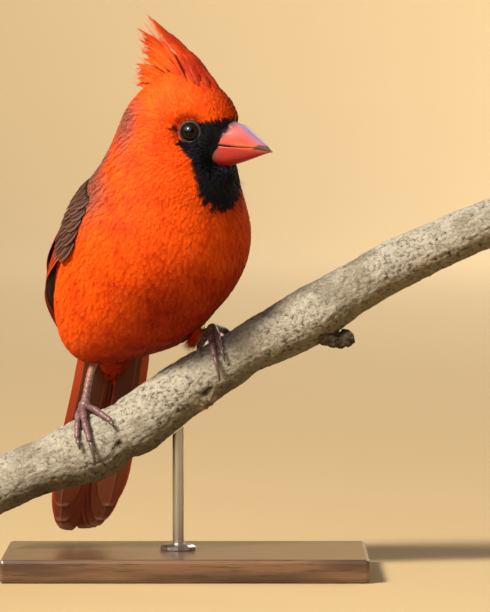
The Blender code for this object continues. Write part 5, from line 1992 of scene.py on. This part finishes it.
class CARDINAL_OT_stage(bpy.types.Operator):
    """Add the pale floor, the lights and the camera"""

    bl_idname = "cardinal.stage"
    bl_label = "Stage"

    def execute(self, context):
        self.floor()
        self.lights()
        self.camera()
        return {"FINISHED"}

    def floor(self):
        """A wide pale bowl round the part, flat in the middle."""
        deselect()
        bpy.ops.mesh.primitive_grid_add(x_subdivisions=64, y_subdivisions=64, size=PAPER_SIZE)
        obj = bpy.context.active_object
        places = vertices_of(obj)
        away = np.hypot(places[:, 0], places[:, 1])
        places[:, 2] = PAPER_RISE * np.maximum(away - PAPER_FLAT, 0.0) ** 2.3
        move_vertices(obj, places)
        bpy.ops.object.shade_smooth()
        painted(obj, shared("stage_paper", paper_look))
        obj.name = "stage_floor"

    def lights(self):
        part = Vector(AIM) * MM
        for name, place, aim, power, size, colour in LAMPS:
            light = bpy.data.lights.new(name, "AREA")
            light.energy, light.size, light.color = power, size, colour
            placed(name, light, place, Vector(aim) if aim else part)
        world = bpy.data.worlds.new("studio")
        bpy.context.scene.world = world
        world.use_nodes = True
        background = world.node_tree.nodes["Background"]
        background.inputs["Color"].default_value = ROOM_LIGHT
        background.inputs["Strength"].default_value = ROOM_STRENGTH
        view = bpy.context.scene.view_settings
        view.view_transform = "Standard"
        view.look = "None"

    def camera(self):
        """A distant camera whose picture is as tall as the photograph at the part's scale."""
        data = bpy.data.cameras.new("camera")
        data.sensor_fit = "AUTO"
        data.sensor_width = 36.0
        data.lens = data.sensor_width * CAMERA_AWAY / (PICTURE_HEIGHT / PIXELS_PER_MM * MM)
        data.clip_start, data.clip_end = 0.1, 40.0
        raised = math.radians(CAMERA_RAISED)
        aim = Vector(AIM) * MM
        place = aim + CAMERA_AWAY * Vector((0.0, -math.cos(raised), math.sin(raised)))
        bpy.context.scene.camera = placed("camera", data, place, aim)


OPERATORS = (
    CARDINAL_OT_skin,
    CARDINAL_OT_coat,
    CARDINAL_OT_crest,
    CARDINAL_OT_bristles,
    CARDINAL_OT_wings,
    CARDINAL_OT_tail,
    CARDINAL_OT_bill,
    CARDINAL_OT_eyes,
    CARDINAL_OT_perch,
    CARDINAL_OT_feet,
    CARDINAL_OT_stand,
    CARDINAL_OT_stage,
)


class CARDINAL_PT_panel(bpy.types.Panel):
    """The cardinal's pieces, sizes and colours"""

    bl_idname = "CARDINAL_PT_panel"
    bl_label = "Northern cardinal"
    bl_space_type = "VIEW_3D"
    bl_region_type = "UI"
    bl_category = "Cardinal"

    def draw(self, context):
        for name in CardinalSettings.__annotations__:
            self.layout.prop(context.scene.cardinal, name)
        for operator in OPERATORS:
            self.layout.operator(operator.bl_idname)


CLASSES = (CardinalSettings, *OPERATORS, CARDINAL_PT_panel)


def register():
    for cls in CLASSES:
        bpy.utils.register_class(cls)
    bpy.types.Scene.cardinal = bpy.props.PointerProperty(type=CardinalSettings)


def unregister():
    del bpy.types.Scene.cardinal
    for cls in reversed(CLASSES):
        bpy.utils.unregister_class(cls)


def main():
    register()
    for operator in OPERATORS:
        group, name = operator.bl_idname.split(".")
        getattr(getattr(bpy.ops, group), name)()


if __name__ == "__main__":
    main()
